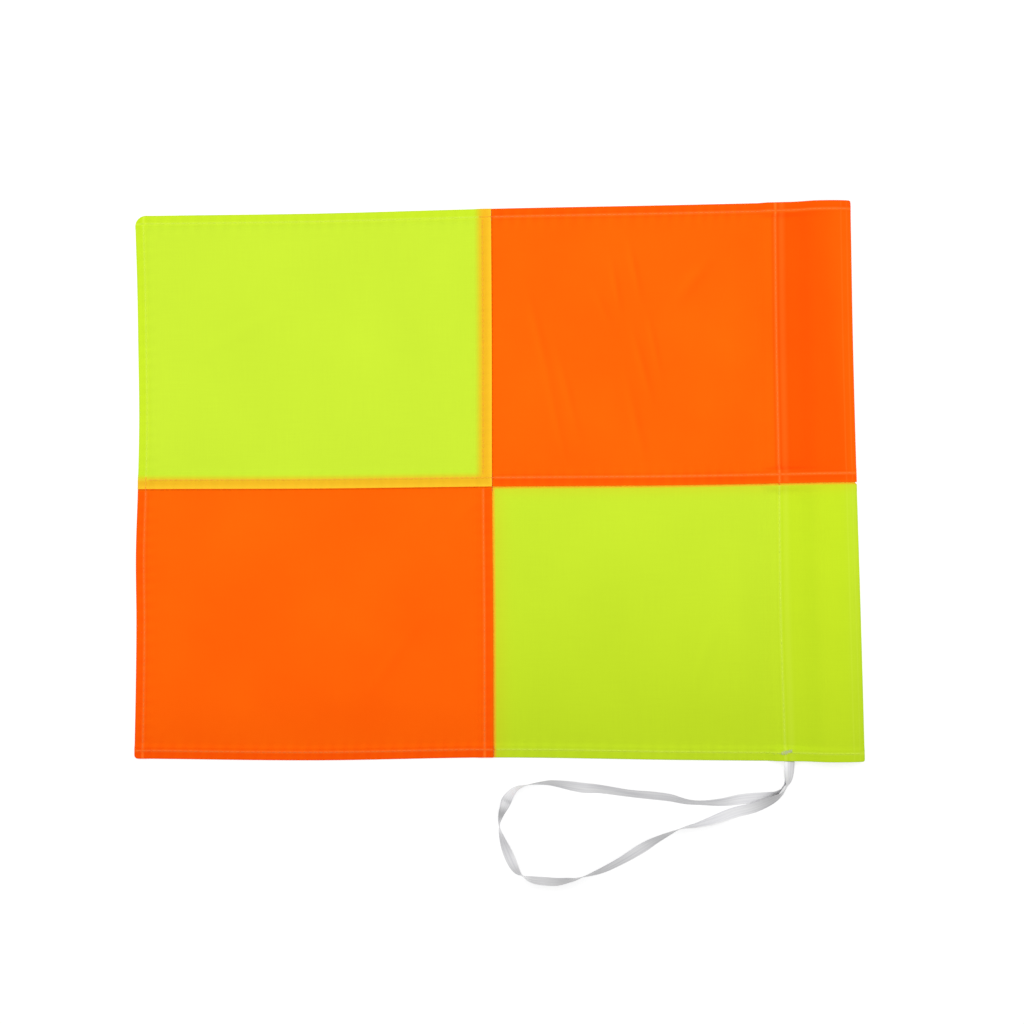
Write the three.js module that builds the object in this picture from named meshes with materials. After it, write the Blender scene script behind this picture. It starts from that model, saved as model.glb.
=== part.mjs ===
// A quartered corner flag laid flat, face up: four hemmed cloth panels joined by two felled seams,
// a pole sleeve wrapped round the hoist side, the rows of stitching, a bar tack and a ribbon tie.
// Millimetres. +X runs from the fly edge to the pole sleeve, +Y up the flag, +Z out of its face.
// The origin is the middle of the flag's outline on the surface that it lies on.

import * as THREE from "three";

// Finished sizes of the flag
const flagLength = 420;
const flagHeight = 320;
const flyPanelWidth = 208;
const lowerPanelHeight = 158.5;
const sleeveWidth = 45.5;

// Cloth, and the gaps between its layers
const clothThickness = 0.3;
const layerGap = 0.1;
const pieceGap = 0.3;

// Hems, seam allowances and the sleeve's turned edge
const hemWidth = 6;
const hemStitchInset = 4.8;
const allowanceWidth = 7;
const topstitchInset = 5.2;
const rawEdgeInset = 0.5;
const layerEndGap = 0.8;
const settleRun = 8;
const sleeveEdgeTurn = 10;
const sleeveStitchInset = 3.5;

// The sleeve's soft hollow, as it stands up when nothing fills it
const sleeveCrownHeight = 7.2;
const sleeveNoseHeight = 2.1;
const sleeveNoseRun = 2.6;

// How the cloth lies: what its two ends differ by, and how far its edges stray from straight
const footSpread = 5.7;
const foldLean = 8.4;
const sleeveSeamLean = 6.2;
const middleSeamLean = 1.1;
const flyEdgeLean = 0.8;
const topEdgeRise = 8.8;
const middleSeamRise = 3.8;
const bottomEdgeDrop = 1.6;
const middleSeamDrop = 2.2;
const edgeStray = 2;
const lieShift = 1.25;
const topCornerRound = 6.5;

// Thread
const threadDiameter = 0.3;
const threadSeat = 0.25;
const seamStep = 1.2;
const barTackLength = 9.4;
const barTackWidth = 4.4;
const barTackHeight = 0.5;
const barTackInset = 5;
const barTackShift = 1.6;

// Ribbon tie
const ribbonWidth = 6;
const ribbonThickness = 0.3;
const ribbonStep = 2.6;

// Worked out from the sizes above
const clothHalf = clothThickness / 2;
const ownPitch = clothThickness + layerGap;
const neighbourPitch = clothThickness + pieceGap;
const hemRise = 2 * ownPitch;
const seamRise = neighbourPitch + ownPitch;
const sleeveStitchLine = flagLength - sleeveWidth;
const stitchedRise = ownPitch + neighbourPitch;
const middleX = flagLength / 2;
const middleY = flagHeight / 2;

const yellowGreen = new THREE.MeshStandardMaterial({ color: 0xcef234, roughness: 0.75, metalness: 0 });
const orange = new THREE.MeshStandardMaterial({ color: 0xff690a, roughness: 0.75, metalness: 0 });
const paleThread = new THREE.MeshStandardMaterial({ color: 0xe6d8cf, roughness: 0.6, metalness: 0 });
const tackThread = new THREE.MeshStandardMaterial({ color: 0xc9cbd8, roughness: 0.6, metalness: 0 });
const whiteSatin = new THREE.MeshStandardMaterial({ color: 0xf1f1f0, roughness: 0.35, metalness: 0 });

// Where the flag lies.
// Each line across the cloth is a straight run between its two ends plus a stray that follows shares
// of edgeStray, given at equal steps along the line.
function strayLine(start, end, strayShares) {
  const stray = new THREE.SplineCurve(strayShares.map((share, k) => new THREE.Vector2(k, share)));
  return (share) => {
    const inside = THREE.MathUtils.clamp(share, 0, 1);
    return THREE.MathUtils.lerp(start, end, share) + edgeStray * stray.getPoint(inside).y;
  };
}

const flyEdgeShares = [0, 0.7, 1.2, 1.05, 0];
const sleeveSeamShares = [0, -0.55, -0.3, -0.3, 0];
const foldShares = [0, 0, -0.4, -0.3, 0];
const topEdgeShares = [0, -0.55, -0.1, -0.25, 0];
const middleSeamShares = [0, -0.12, -0.2, -0.27, 0];
const bottomEdgeShares = [0, -0.3, 0.85, 0.3, 0];
const straightShares = [0, 0, 0, 0, 0];

// The lines that run up the flag, from the bottom edge to the top: the fly edge, the middle seam,
// the sleeve's stitching and the sleeve's fold.
const spread = (flagLength + footSpread) / 2;
const seamFromMiddle = flyPanelWidth - middleX;
const sleeveFromMiddle = sleeveStitchLine - middleX;
const columns = [
  { at: 0, x: strayLine(-spread, -spread + flyEdgeLean, flyEdgeShares) },
  {
    at: flyPanelWidth,
    x: strayLine(seamFromMiddle - middleSeamLean / 2, seamFromMiddle - 2 * middleSeamLean, straightShares),
  },
  {
    at: sleeveStitchLine,
    x: strayLine(sleeveFromMiddle + foldLean / 4, sleeveFromMiddle + foldLean / 4 - sleeveSeamLean, sleeveSeamShares),
  },
  { at: flagLength, x: strayLine(spread, spread - foldLean, foldShares) },
];

// The lines that run along the flag, from the fly edge to the fold: the bottom edge, the middle seam
// and the top edge.
const bottomStart = -middleY - lieShift;
const seamStart = lowerPanelHeight - middleY - lieShift - middleSeamDrop;
const topStart = middleY - lieShift - topEdgeRise / 2;
const rows = [
  { at: 0, y: strayLine(bottomStart, bottomStart - bottomEdgeDrop, bottomEdgeShares) },
  { at: lowerPanelHeight, y: strayLine(seamStart, seamStart + middleSeamRise, middleSeamShares) },
  { at: flagHeight, y: strayLine(topStart, topStart + topEdgeRise, topEdgeShares) },
];

function between(lines, place, key, share) {
  let k = 0;
  while (k < lines.length - 2 && place > lines[k + 1].at) {
    k += 1;
  }
  const part = (place - lines[k].at) / (lines[k + 1].at - lines[k].at);
  return THREE.MathUtils.lerp(lines[k][key](share), lines[k + 1][key](share), part);
}

// The fly edge's top corner is worn round: within the round, each edge distance is drawn in by a
// share that grows as the other edge comes near, as on a square squeezed into a disc.
function roundTopCorner(s, t) {
  const nearFly = THREE.MathUtils.clamp(1 - s / topCornerRound, 0, 1);
  const nearTop = THREE.MathUtils.clamp(1 - (flagHeight - t) / topCornerRound, 0, 1);
  const inward = (own, other) => topCornerRound * own * (1 - Math.sqrt(1 - (other * other) / 2));
  return { s: s + inward(nearFly, nearTop), t: t - inward(nearTop, nearFly) };
}

// A place on the flat flag, as drawn on the table: s runs from the fly edge, t from the bottom edge.
function lay(alongFlag, upFlag) {
  const { s, t } = roundTopCorner(alongFlag, upFlag);
  return {
    x: between(columns, s, "x", t / flagHeight),
    y: between(rows, t, "y", s / flagLength),
  };
}

// Folded cloth.
// A panel is one piece of cloth, folded along its length and across its height. Each direction has a
// list of stations in the order in which the cloth runs from one raw edge to the other. A station has
// its place on the flat flag, the height of its layer, the direction that the cloth's face looks in
// there, and whether it lies past a fold.
const station = (at, height, outAlong, outUp, turned) => ({ at, height, outAlong, outUp, turned });
const faceStation = (at, height) => station(at, height, 0, 1, false);

// An edge turned under twice, from its raw edge in the middle layer out to the face.
function doubleHem() {
  const inner = hemWidth - clothHalf;
  return [
    station(clothHalf + ownPitch + rawEdgeInset, ownPitch, 0, 1, true),
    station(inner - ownPitch / 2, ownPitch, 0, 1, true),
    station(inner, ownPitch / 2, 1, 0, true),
    station(inner - ownPitch / 2, 0, 0, -1, true),
    station(clothHalf + ownPitch, 0, 0, -1, true),
    station(clothHalf, ownPitch, -1, 0, true),
    faceStation(clothHalf + ownPitch, hemRise),
    faceStation(hemWidth + layerEndGap, hemRise),
    faceStation(hemWidth + settleRun / 2, hemRise / 2),
    faceStation(hemWidth + settleRun, 0),
  ];
}

// An edge turned under once at a seam, above the neighbour's flat allowance.
function turnedAllowance() {
  return [
    station(allowanceWidth, neighbourPitch, 0, -1, true),
    station(clothHalf + ownPitch / 2, neighbourPitch, 0, -1, true),
    station(clothHalf, neighbourPitch + ownPitch / 2, -1, 0, true),
    faceStation(clothHalf + ownPitch / 2, seamRise),
    faceStation(allowanceWidth + layerEndGap, seamRise),
    faceStation(allowanceWidth + settleRun / 2, seamRise / 2),
    faceStation(allowanceWidth + settleRun, 0),
  ];
}

// The same edge at the near end of a list, or mirrored at its far end.
const fromEdge = (edge, stations) => stations.map((p) => ({ ...p, at: edge + p.at }));
const toEdge = (edge, stations) =>
  stations.map((p) => ({ ...p, at: edge - p.at, outAlong: -p.outAlong })).reverse();

// Plain face between two stations, in equal steps.
function plainRun(from, to, steps) {
  const run = [];
  for (let k = 1; k < steps; k += 1) {
    run.push(faceStation(THREE.MathUtils.lerp(from, to, k / steps), 0));
  }
  return run;
}

const panelSteps = 4;

function joinRuns(first, last) {
  const run = plainRun(first[first.length - 1].at, last[0].at, panelSteps);
  return [...first, ...run.map((p) => ({ ...p, lift: 0 })), ...last];
}

// The hem lifts what lies on it by its own rise, turned layers and face alike.
const hemLift = (p) => (p.turned ? hemRise : p.height);

// Up the flag: hem, face and seam. lift is how far the whole thickness there raises a layer that lies
// on it, as the sleeve's walls lie on each other.
function lowerPanelRun() {
  const hem = fromEdge(0, doubleHem()).map((p) => ({ ...p, lift: hemLift(p) }));
  const seam = [
    { ...faceStation(lowerPanelHeight - settleRun, 0), lift: 0 },
    { ...faceStation(lowerPanelHeight - settleRun / 2, 0), lift: seamRise / 2 },
    { ...faceStation(lowerPanelHeight - layerEndGap, 0), lift: seamRise },
    { ...station(lowerPanelHeight + allowanceWidth, 0, 0, 1, true), lift: seamRise },
  ];
  return joinRuns(hem, seam);
}

function upperPanelRun() {
  const seam = fromEdge(lowerPanelHeight, turnedAllowance()).map((p) => ({
    ...p,
    lift: p.turned ? seamRise : p.height,
  }));
  const hem = toEdge(flagHeight, doubleHem()).map((p) => ({ ...p, lift: hemLift(p) }));
  return joinRuns(seam, hem);
}

// Along the flag, the fly panels: hem, face, and the allowance turned back over the neighbour's.
function flyPanelRun() {
  const hem = fromEdge(0, doubleHem());
  const seam = toEdge(flyPanelWidth, turnedAllowance());
  const run = [...hem, ...plainRun(hem[hem.length - 1].at, seam[0].at, panelSteps), ...seam];
  return run.map((p) => ({ ...p, carried: 1, flat: true }));
}

// Along the flag, the hoist panels: flat allowance, face, the sleeve's front wall, its rounded fold,
// its back wall on the table, and the turned edge that the sleeve's stitching catches.
// carried says how many times the lift of a hem or seam raises the layer: the walls lie on each other.
function hoistPanelRun() {
  const sewnFrom = sleeveStitchLine - sleeveStitchInset - layerEndGap;
  const sewnTo = sleeveStitchLine - sleeveStitchInset + sleeveEdgeTurn + layerEndGap;
  const backEdge = sleeveStitchLine - sleeveStitchInset + clothHalf;
  const backTurn = backEdge + ownPitch / 2 + seamRise;
  const settleFrom = sewnFrom - settleRun;
  const faceFrom = flyPanelWidth + pieceGap;
  const settleHalf = (settleFrom + sewnFrom) / 2;
  return [
    { ...station(flyPanelWidth - allowanceWidth, 0, 0, 1, true), carried: 1 },
    { ...faceStation(faceFrom, 0), carried: 1 },
    ...plainRun(faceFrom, settleFrom, panelSteps).map((p) => ({ ...p, carried: 1 })),
    { ...faceStation(settleFrom, 0), carried: 1 },
    { ...faceStation(settleHalf, stitchedRise / 2), carried: 2 },
    { ...faceStation(sewnFrom, stitchedRise), carried: 3 },
    ...sleeveLoop(sewnTo),
    { ...station(backTurn, 0, 0, -1, false), carried: 0 },
    { ...station(backEdge, ownPitch / 2, -1, 0, false), carried: 1 },
    { ...station(backTurn, ownPitch, 0, 1, false), carried: 2 },
    { ...station(backEdge + sleeveEdgeTurn, ownPitch, 0, 1, false), carried: 2 },
  ];
}

// The sleeve's hollow in section: up to a soft crown, down to the fold, round its nose and back
// along the table. The face looks out to the left of the way that the cloth runs.
const crownShare = 0.52;
const riseShare = 0.45;
const fallShare = 0.62;
const noseBulgeShare = 0.55;
const sleeveParts = [
  { steps: 5, carriedFrom: 3, carriedTo: 1 },
  { steps: 5, carriedFrom: 1, carriedTo: 0.5 },
  { steps: 3, carriedFrom: 0.5, carriedTo: 0 },
];

function sleeveLoop(sewnTo) {
  const fold = flagLength - clothHalf;
  const crown = THREE.MathUtils.lerp(sewnTo, fold, crownShare);
  const rise = (crown - sewnTo) * riseShare;
  const fall = (fold - crown) * fallShare;
  const crownHeight = sleeveCrownHeight - clothHalf;
  const noseBulge = sleeveNoseHeight * noseBulgeShare;
  const section = new THREE.Path();
  section.moveTo(sewnTo, stitchedRise);
  section.bezierCurveTo(sewnTo + rise, stitchedRise, crown - rise, crownHeight, crown, crownHeight);
  section.bezierCurveTo(crown + fall, crownHeight, fold, sleeveNoseHeight + noseBulge, fold, sleeveNoseHeight);
  section.bezierCurveTo(
    fold, sleeveNoseHeight - noseBulge,
    fold - sleeveNoseRun * noseBulgeShare, 0,
    fold - sleeveNoseRun, 0,
  );
  const loop = [];
  section.curves.forEach((curve, part) => {
    const { steps, carriedFrom, carriedTo } = sleeveParts[part];
    for (let k = part === 0 ? 0 : 1; k <= steps; k += 1) {
      const place = curve.getPointAt(k / steps);
      const way = curve.getTangentAt(k / steps);
      const carried = THREE.MathUtils.lerp(carriedFrom, carriedTo, k / steps);
      loop.push({ ...station(place.x, place.y, -way.y, way.x, false), carried });
    }
  });
  return loop;
}

// A point of a panel: across is the station along the flag, up the station up the flag, and out is
// the distance from the middle of the cloth towards its face.
function clothPoint(across, up, out) {
  const lift = across.flat ? up.height : up.lift;
  const beyond = up.height - lift + up.outUp * out;
  const place = lay(across.at + across.outAlong * beyond, up.at + up.outAlong * out);
  const z = clothHalf + across.height + across.outUp * beyond + across.carried * lift;
  return new THREE.Vector3(place.x, place.y, z);
}

// Where a station past a fold along the flag meets the hem or seam at either end of the panel, the
// cloth is trimmed away, as allowances are to keep the corners thin.
function trimmedSpan(run) {
  const face = run.filter((p) => !p.turned);
  return { from: face[1].at, to: face[face.length - 2].at };
}

// The closed solid of a panel: a face side and a back side on the grid of its stations, and a wall
// round its raw edges.
function panelGeometry(acrossRun, upRun) {
  const span = trimmedSpan(upRun);
  const isCloth = (i, j) => {
    const pastFold = acrossRun[i].turned || acrossRun[i + 1].turned;
    const plain = !upRun[j].turned && !upRun[j + 1].turned;
    const inSpan = upRun[j].at >= span.from && upRun[j + 1].at <= span.to;
    return !pastFold || (plain && inSpan);
  };
  const positions = [];
  for (const side of [clothHalf, -clothHalf]) {
    for (const across of acrossRun) {
      for (const up of upRun) {
        positions.push(...clothPoint(across, up, side).toArray());
      }
    }
  }
  const layer = acrossRun.length * upRun.length;
  const at = (i, j) => i * upRun.length + j;
  const faces = [];
  const edges = new Map();
  for (let i = 0; i < acrossRun.length - 1; i += 1) {
    for (let j = 0; j < upRun.length - 1; j += 1) {
      if (!isCloth(i, j)) {
        continue;
      }
      const quad = [at(i, j), at(i + 1, j), at(i + 1, j + 1), at(i, j + 1)];
      faces.push(quad[0], quad[1], quad[2], quad[0], quad[2], quad[3]);
      quad.forEach((from, k) => {
        const to = quad[(k + 1) % quad.length];
        if (!edges.delete(`${to},${from}`)) {
          edges.set(`${from},${to}`, [from, to]);
        }
      });
    }
  }
  const back = [];
  for (let k = 0; k < faces.length; k += 3) {
    back.push(faces[k] + layer, faces[k + 2] + layer, faces[k + 1] + layer);
  }
  const walls = [];
  for (const [from, to] of edges.values()) {
    walls.push(to, from, from + layer, to, from + layer, to + layer);
  }
  const geometry = new THREE.BufferGeometry();
  geometry.setAttribute("position", new THREE.Float32BufferAttribute(positions, 3));
  geometry.setIndex([...faces, ...back, ...walls]);
  geometry.computeVertexNormals();
  return geometry;
}

const flag = new THREE.Group();

function addPiece(name, geometry, material) {
  const mesh = new THREE.Mesh(geometry, material);
  mesh.name = name;
  flag.add(mesh);
  return mesh;
}

const flyRun = flyPanelRun();
const hoistRun = hoistPanelRun();
const lowerRun = lowerPanelRun();
const upperRun = upperPanelRun();

addPiece("fly_upper_panel", panelGeometry(flyRun, upperRun), yellowGreen);
addPiece("fly_lower_panel", panelGeometry(flyRun, lowerRun), orange);
addPiece("hoist_upper_panel", panelGeometry(hoistRun, upperRun), orange);
addPiece("hoist_lower_panel", panelGeometry(hoistRun, lowerRun), yellowGreen);

// Rows of stitching.
// The stations of a panel's front face, up to where the sleeve's fold turns it over.
function frontStations(run) {
  const first = run.findIndex((p) => !p.turned);
  const past = run.findIndex((p, k) => k > first && (p.turned || p.outUp <= 0));
  return run.slice(first, past);
}

// The face under a place on the flag, read between its stations.
function faceAt(run, at) {
  const front = frontStations(run);
  let k = 0;
  while (k < front.length - 2 && at > front[k + 1].at) {
    k += 1;
  }
  const from = front[k];
  const to = front[k + 1];
  const part = THREE.MathUtils.clamp((at - from.at) / (to.at - from.at), 0, 1);
  const mixed = { at, turned: false, flat: from.flat };
  for (const key of ["height", "outAlong", "outUp", "lift", "carried"]) {
    mixed[key] = THREE.MathUtils.lerp(from[key], to[key], part);
  }
  return mixed;
}

function onFace(s, t, out) {
  const across = faceAt(s <= flyPanelWidth ? flyRun : hoistRun, s);
  const up = faceAt(t < lowerPanelHeight ? lowerRun : upperRun, t);
  return clothPoint(across, up, clothHalf + out);
}

// The places where a row bends: its ends, every station that it crosses, and the step down at a seam.
function rowStops(runs, from, to, high, low) {
  const stops = runs.flatMap(frontStations).map((p) => p.at);
  const clear = stops.filter((at) => (at - high) * (at - low) > 0);
  const kept = [...clear, high, low].filter((at) => at > from && at < to);
  return [from, ...kept.sort((a, b) => a - b), to];
}

// A thread laid on the face along a row, level with the flag's edges or up it. Where it crosses an
// earlier row it hops over that thread.
const threadSides = 5;
function threadGeometry({ from, to, over = [] }) {
  const level = from.t === to.t;
  const stops = level
    ? rowStops([flyRun, hoistRun], from.s, to.s, flyPanelWidth, flyPanelWidth + seamStep)
    : rowStops([lowerRun, upperRun], from.t, to.t, lowerPanelHeight, lowerPanelHeight - seamStep);
  const hops = over.flatMap((at) => [at - seamStep, at, at + seamStep]);
  const places = [...stops, ...hops].sort((a, b) => a - b);
  const points = places.map((at) => {
    const seat = threadSeat + threadDiameter / 2 + (over.includes(at) ? threadDiameter + layerGap : 0);
    return level ? onFace(at, from.t, seat) : onFace(from.s, at, seat);
  });
  return sweep(points, points.map(() => circleSection(threadDiameter / 2, threadSides)));
}

function circleSection(radius, sides) {
  const section = [];
  for (let k = 0; k < sides; k += 1) {
    const angle = (2 * Math.PI * k) / sides;
    section.push(new THREE.Vector2(radius * Math.cos(angle), radius * Math.sin(angle)));
  }
  return section;
}

// A closed solid through a list of points, with a section at each: the section's first axis lies
// level, the second stands up, and both are square to the way.
function sweep(points, sections) {
  const positions = [];
  const sides = sections[0].length;
  const up = new THREE.Vector3(0, 0, 1);
  points.forEach((point, k) => {
    const way = points[Math.min(k + 1, points.length - 1)].clone().sub(points[Math.max(k - 1, 0)]);
    const level = way.normalize().clone().cross(up).normalize();
    const stand = level.clone().cross(way);
    for (const corner of sections[k]) {
      const place = point.clone().addScaledVector(level, corner.x).addScaledVector(stand, corner.y);
      positions.push(...place.toArray());
    }
  });
  const faces = [];
  for (let k = 0; k < points.length - 1; k += 1) {
    for (let side = 0; side < sides; side += 1) {
      const a = k * sides + side;
      const b = k * sides + ((side + 1) % sides);
      if (side < sides / 2) {
        faces.push(a, b + sides, b, a, a + sides, b + sides);
      } else {
        // facing sides are cut along the same diagonal, so a thin strip stays one thickness as it twists
        faces.push(a, a + sides, b, b, a + sides, b + sides);
      }
    }
  }
  const last = (points.length - 1) * sides;
  for (let side = 1; side < sides - 1; side += 1) {
    faces.push(0, side, side + 1);
    faces.push(last, last + side + 1, last + side);
  }
  const geometry = new THREE.BufferGeometry();
  geometry.setAttribute("position", new THREE.Float32BufferAttribute(positions, 3));
  geometry.setIndex(faces);
  geometry.computeVertexNormals();
  return geometry;
}

const rowInset = threadDiameter + rawEdgeInset;
const foldEnd = flagLength - sleeveNoseHeight - rowInset;
const seamDitch = pieceGap + threadDiameter;
const stitchRows = [
  {
    name: "top_hem_stitching",
    from: { s: rowInset, t: flagHeight - hemStitchInset },
    to: { s: foldEnd, t: flagHeight - hemStitchInset },
  },
  {
    name: "bottom_hem_stitching",
    from: { s: rowInset, t: hemStitchInset },
    to: { s: foldEnd, t: hemStitchInset },
  },
  {
    name: "fly_hem_stitching",
    from: { s: hemStitchInset, t: hemWidth },
    to: { s: hemStitchInset, t: flagHeight - hemWidth },
  },
  {
    name: "upper_vertical_topstitching",
    from: { s: flyPanelWidth - topstitchInset, t: lowerPanelHeight + allowanceWidth },
    to: { s: flyPanelWidth - topstitchInset, t: flagHeight - hemWidth },
  },
  {
    name: "lower_vertical_topstitching",
    from: { s: flyPanelWidth - topstitchInset, t: hemWidth },
    to: { s: flyPanelWidth - topstitchInset, t: lowerPanelHeight - rowInset },
  },
  {
    name: "horizontal_topstitching",
    from: { s: hemWidth, t: lowerPanelHeight + topstitchInset },
    to: { s: foldEnd, t: lowerPanelHeight + topstitchInset },
  },
  {
    name: "sleeve_stitching",
    from: { s: sleeveStitchLine, t: barTackInset + barTackWidth },
    to: { s: sleeveStitchLine, t: flagHeight - hemStitchInset - rowInset },
    over: [lowerPanelHeight - seamDitch, lowerPanelHeight + topstitchInset],
  },
  {
    name: "upper_vertical_seam_thread",
    from: { s: flyPanelWidth + seamDitch, t: lowerPanelHeight + allowanceWidth },
    to: { s: flyPanelWidth + seamDitch, t: flagHeight - hemWidth },
  },
  {
    name: "lower_vertical_seam_thread",
    from: { s: flyPanelWidth + seamDitch, t: hemWidth },
    to: { s: flyPanelWidth + seamDitch, t: lowerPanelHeight - seamDitch - rowInset },
  },
  {
    name: "horizontal_seam_thread",
    from: { s: rowInset, t: lowerPanelHeight - seamDitch },
    to: { s: foldEnd, t: lowerPanelHeight - seamDitch },
  },
];

for (const row of stitchRows) {
  addPiece(row.name, threadGeometry(row), paleThread);
}

// The bar tack: a close zigzag that locks the ribbon's two ends into the foot of the sleeve.
const tackRidges = 9;
function barTackGeometry() {
  const ridge = barTackLength / tackRidges;
  const valley = barTackHeight / 2;
  const outline = new THREE.Shape();
  outline.moveTo(-barTackLength / 2, 0);
  outline.lineTo(barTackLength / 2, 0);
  for (let k = tackRidges; k > 0; k -= 1) {
    const x = -barTackLength / 2 + k * ridge;
    outline.lineTo(x, valley);
    outline.lineTo(x - ridge / 2, barTackHeight);
  }
  outline.lineTo(-barTackLength / 2, valley);
  const geometry = new THREE.ExtrudeGeometry(outline, { depth: barTackWidth, bevelEnabled: false });
  geometry.translate(0, 0, -barTackWidth / 2);
  geometry.rotateX(Math.PI / 2);
  return geometry;
}

const barTack = addPiece("tie_bar_tack", barTackGeometry(), tackThread);
const tackSeat = threadSeat + threadDiameter + layerGap;
barTack.position.copy(onFace(sleeveStitchLine + barTackShift, barTackInset, tackSeat));

// The ribbon tie: one flat ribbon that leaves the foot of the sleeve, runs out to the left, turns
// back and returns to the same place. Each point of its route has its place on the table, how far
// its lower edge is off it, and how far it is turned from lying flat, in degrees.
const ribbonRoute = [
  [168.6, -162.9, 1.2, 8],
  [168.3, -168.4, 0.6, 20],
  [167.4, -172.9, 0.2, 40],
  [165.4, -177.0, 0.1, 74],
  [162.6, -180.2, 0.1, 66],
  [156.6, -183.2, 0.1, 24],
  [142.0, -184.8, 0, 6],
  [129.9, -186.5, 0, 34],
  [118.2, -186.8, 0, 58],
  [109.3, -186.2, 0, 55],
  [99.2, -183.9, 0, 38],
  [88.5, -182.6, 0, 34],
  [76.0, -181.4, 0, 40],
  [58.8, -178.9, 0, 30],
  [48.4, -178.2, 0, 12],
  [33.1, -175.6, 0, 46],
  [25.8, -175.3, 0, 64],
  [14.6, -176.8, 0, 90],
  [9.0, -179.6, 0, 122],
  [5.2, -184.4, 0, 158],
  [3.2, -188.8, 0, 205],
  [1.2, -194.0, 0, 238],
  [0.3, -200.3, 0, 270],
  [2.1, -207.9, 0, 306],
  [5.9, -217.8, 0, 345],
  [9.9, -225.6, 0, 320],
  [14.6, -229.7, 0, 270],
  [20.0, -231.7, 0, 236],
  [27.0, -232.5, 0, 225],
  [33.8, -232.8, 0, 230],
  [40.3, -231.9, 0, 250],
  [46.0, -230.8, 0, 270],
  [59.7, -226.2, 0, 310],
  [71.6, -220.3, 0, 326],
  [82.6, -213.8, 0, 345],
  [92.0, -208.2, 0, 310],
  [105.4, -202.0, 0, 270],
  [115.3, -199.8, 0, 242],
  [124.0, -197.3, 0, 214],
  [136.3, -192.9, 0, 188],
  [148.0, -190.0, 0.1, 172],
  [157.8, -185.8, 0.4, 148],
  [164.3, -181.6, 0.4, 112],
  [167.0, -177.4, 0.5, 104],
  [168.3, -173.0, 1.0, 140],
  [168.7, -168.4, 1.5, 160],
  [168.9, -162.9, 2.1, 172],
];

const ribbonGeometry = () => {
  const places = ribbonRoute.map(([x, y]) => new THREE.Vector3(x, y, 0));
  const path = new THREE.CatmullRomCurve3(places, false, "centripetal");
  const length = path.getLength();
  const steps = Math.round(length / ribbonStep);
  const points = [];
  const sections = [];
  for (let k = 0; k <= steps; k += 1) {
    const share = path.getUtoTmapping(k / steps);
    const place = path.getPoint(share);
    const [, , clear, degrees] = routeAt(share);
    const turn = THREE.MathUtils.degToRad(degrees);
    const halfWidth = ribbonWidth / 2;
    const halfThickness = ribbonThickness / 2;
    place.z = clear + halfWidth * Math.abs(Math.sin(turn)) + halfThickness * Math.abs(Math.cos(turn));
    points.push(place);
    const corners = [
      new THREE.Vector2(halfWidth, -halfThickness),
      new THREE.Vector2(halfWidth, halfThickness),
      new THREE.Vector2(-halfWidth, halfThickness),
      new THREE.Vector2(-halfWidth, -halfThickness),
    ];
    sections.push(corners.map((corner) => corner.rotateAround(new THREE.Vector2(), turn)));
  }
  console.log(`tie_ribbon: ${length.toFixed(1)} mm along its route`);
  return sweep(points, sections);
};

// The route's list, read between its points.
function routeAt(share) {
  const place = share * (ribbonRoute.length - 1);
  const k = Math.min(Math.floor(place), ribbonRoute.length - 2);
  return ribbonRoute[k].map((value, n) => THREE.MathUtils.lerp(value, ribbonRoute[k + 1][n], place - k));
}

// The origin is the middle of the sewn flag's outline, at its lowest face.
const sewn = new THREE.Box3().setFromObject(flag, true);
const middle = sewn.getCenter(new THREE.Vector3());
console.log(`flag box: ${sewn.getSize(new THREE.Vector3()).toArray().map((v) => v.toFixed(2))}`);
console.log(`moved by: ${[-middle.x, -middle.y, -sewn.min.z].map((v) => v.toFixed(3))}`);
addPiece("tie_ribbon", ribbonGeometry(), whiteSatin);
flag.children.forEach((piece) => {
  if (piece.name !== "tie_ribbon") {
    piece.position.add(new THREE.Vector3(-middle.x, -middle.y, -sewn.min.z));
  }
});

export default flag;
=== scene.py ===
import math

import bpy
import numpy as np
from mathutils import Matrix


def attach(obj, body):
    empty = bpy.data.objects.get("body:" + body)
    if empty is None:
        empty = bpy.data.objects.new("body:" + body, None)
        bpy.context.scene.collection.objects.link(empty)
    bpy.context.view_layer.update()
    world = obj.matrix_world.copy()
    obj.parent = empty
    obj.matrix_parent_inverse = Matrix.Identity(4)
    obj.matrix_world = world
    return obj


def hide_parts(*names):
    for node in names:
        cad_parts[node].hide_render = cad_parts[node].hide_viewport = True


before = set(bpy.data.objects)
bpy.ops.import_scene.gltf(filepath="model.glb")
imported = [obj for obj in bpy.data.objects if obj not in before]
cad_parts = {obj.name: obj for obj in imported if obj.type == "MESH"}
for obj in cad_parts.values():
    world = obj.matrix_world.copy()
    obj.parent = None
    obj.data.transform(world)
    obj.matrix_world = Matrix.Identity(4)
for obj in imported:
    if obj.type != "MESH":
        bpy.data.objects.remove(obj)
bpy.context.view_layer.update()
mm = 0.001  # sizes below are in millimetres unless they say otherwise

# camera: straight above the flag, framed as the picture is

cameraSettings = {
    "imageWidth": 1024,
    "millimetresPerPixel": 0.582,
    "flagCentrePixel": (498.9, 481.2),  # where the flag's origin lies in the picture
    "lens": 85,
    "sensor": 36,
}


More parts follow.
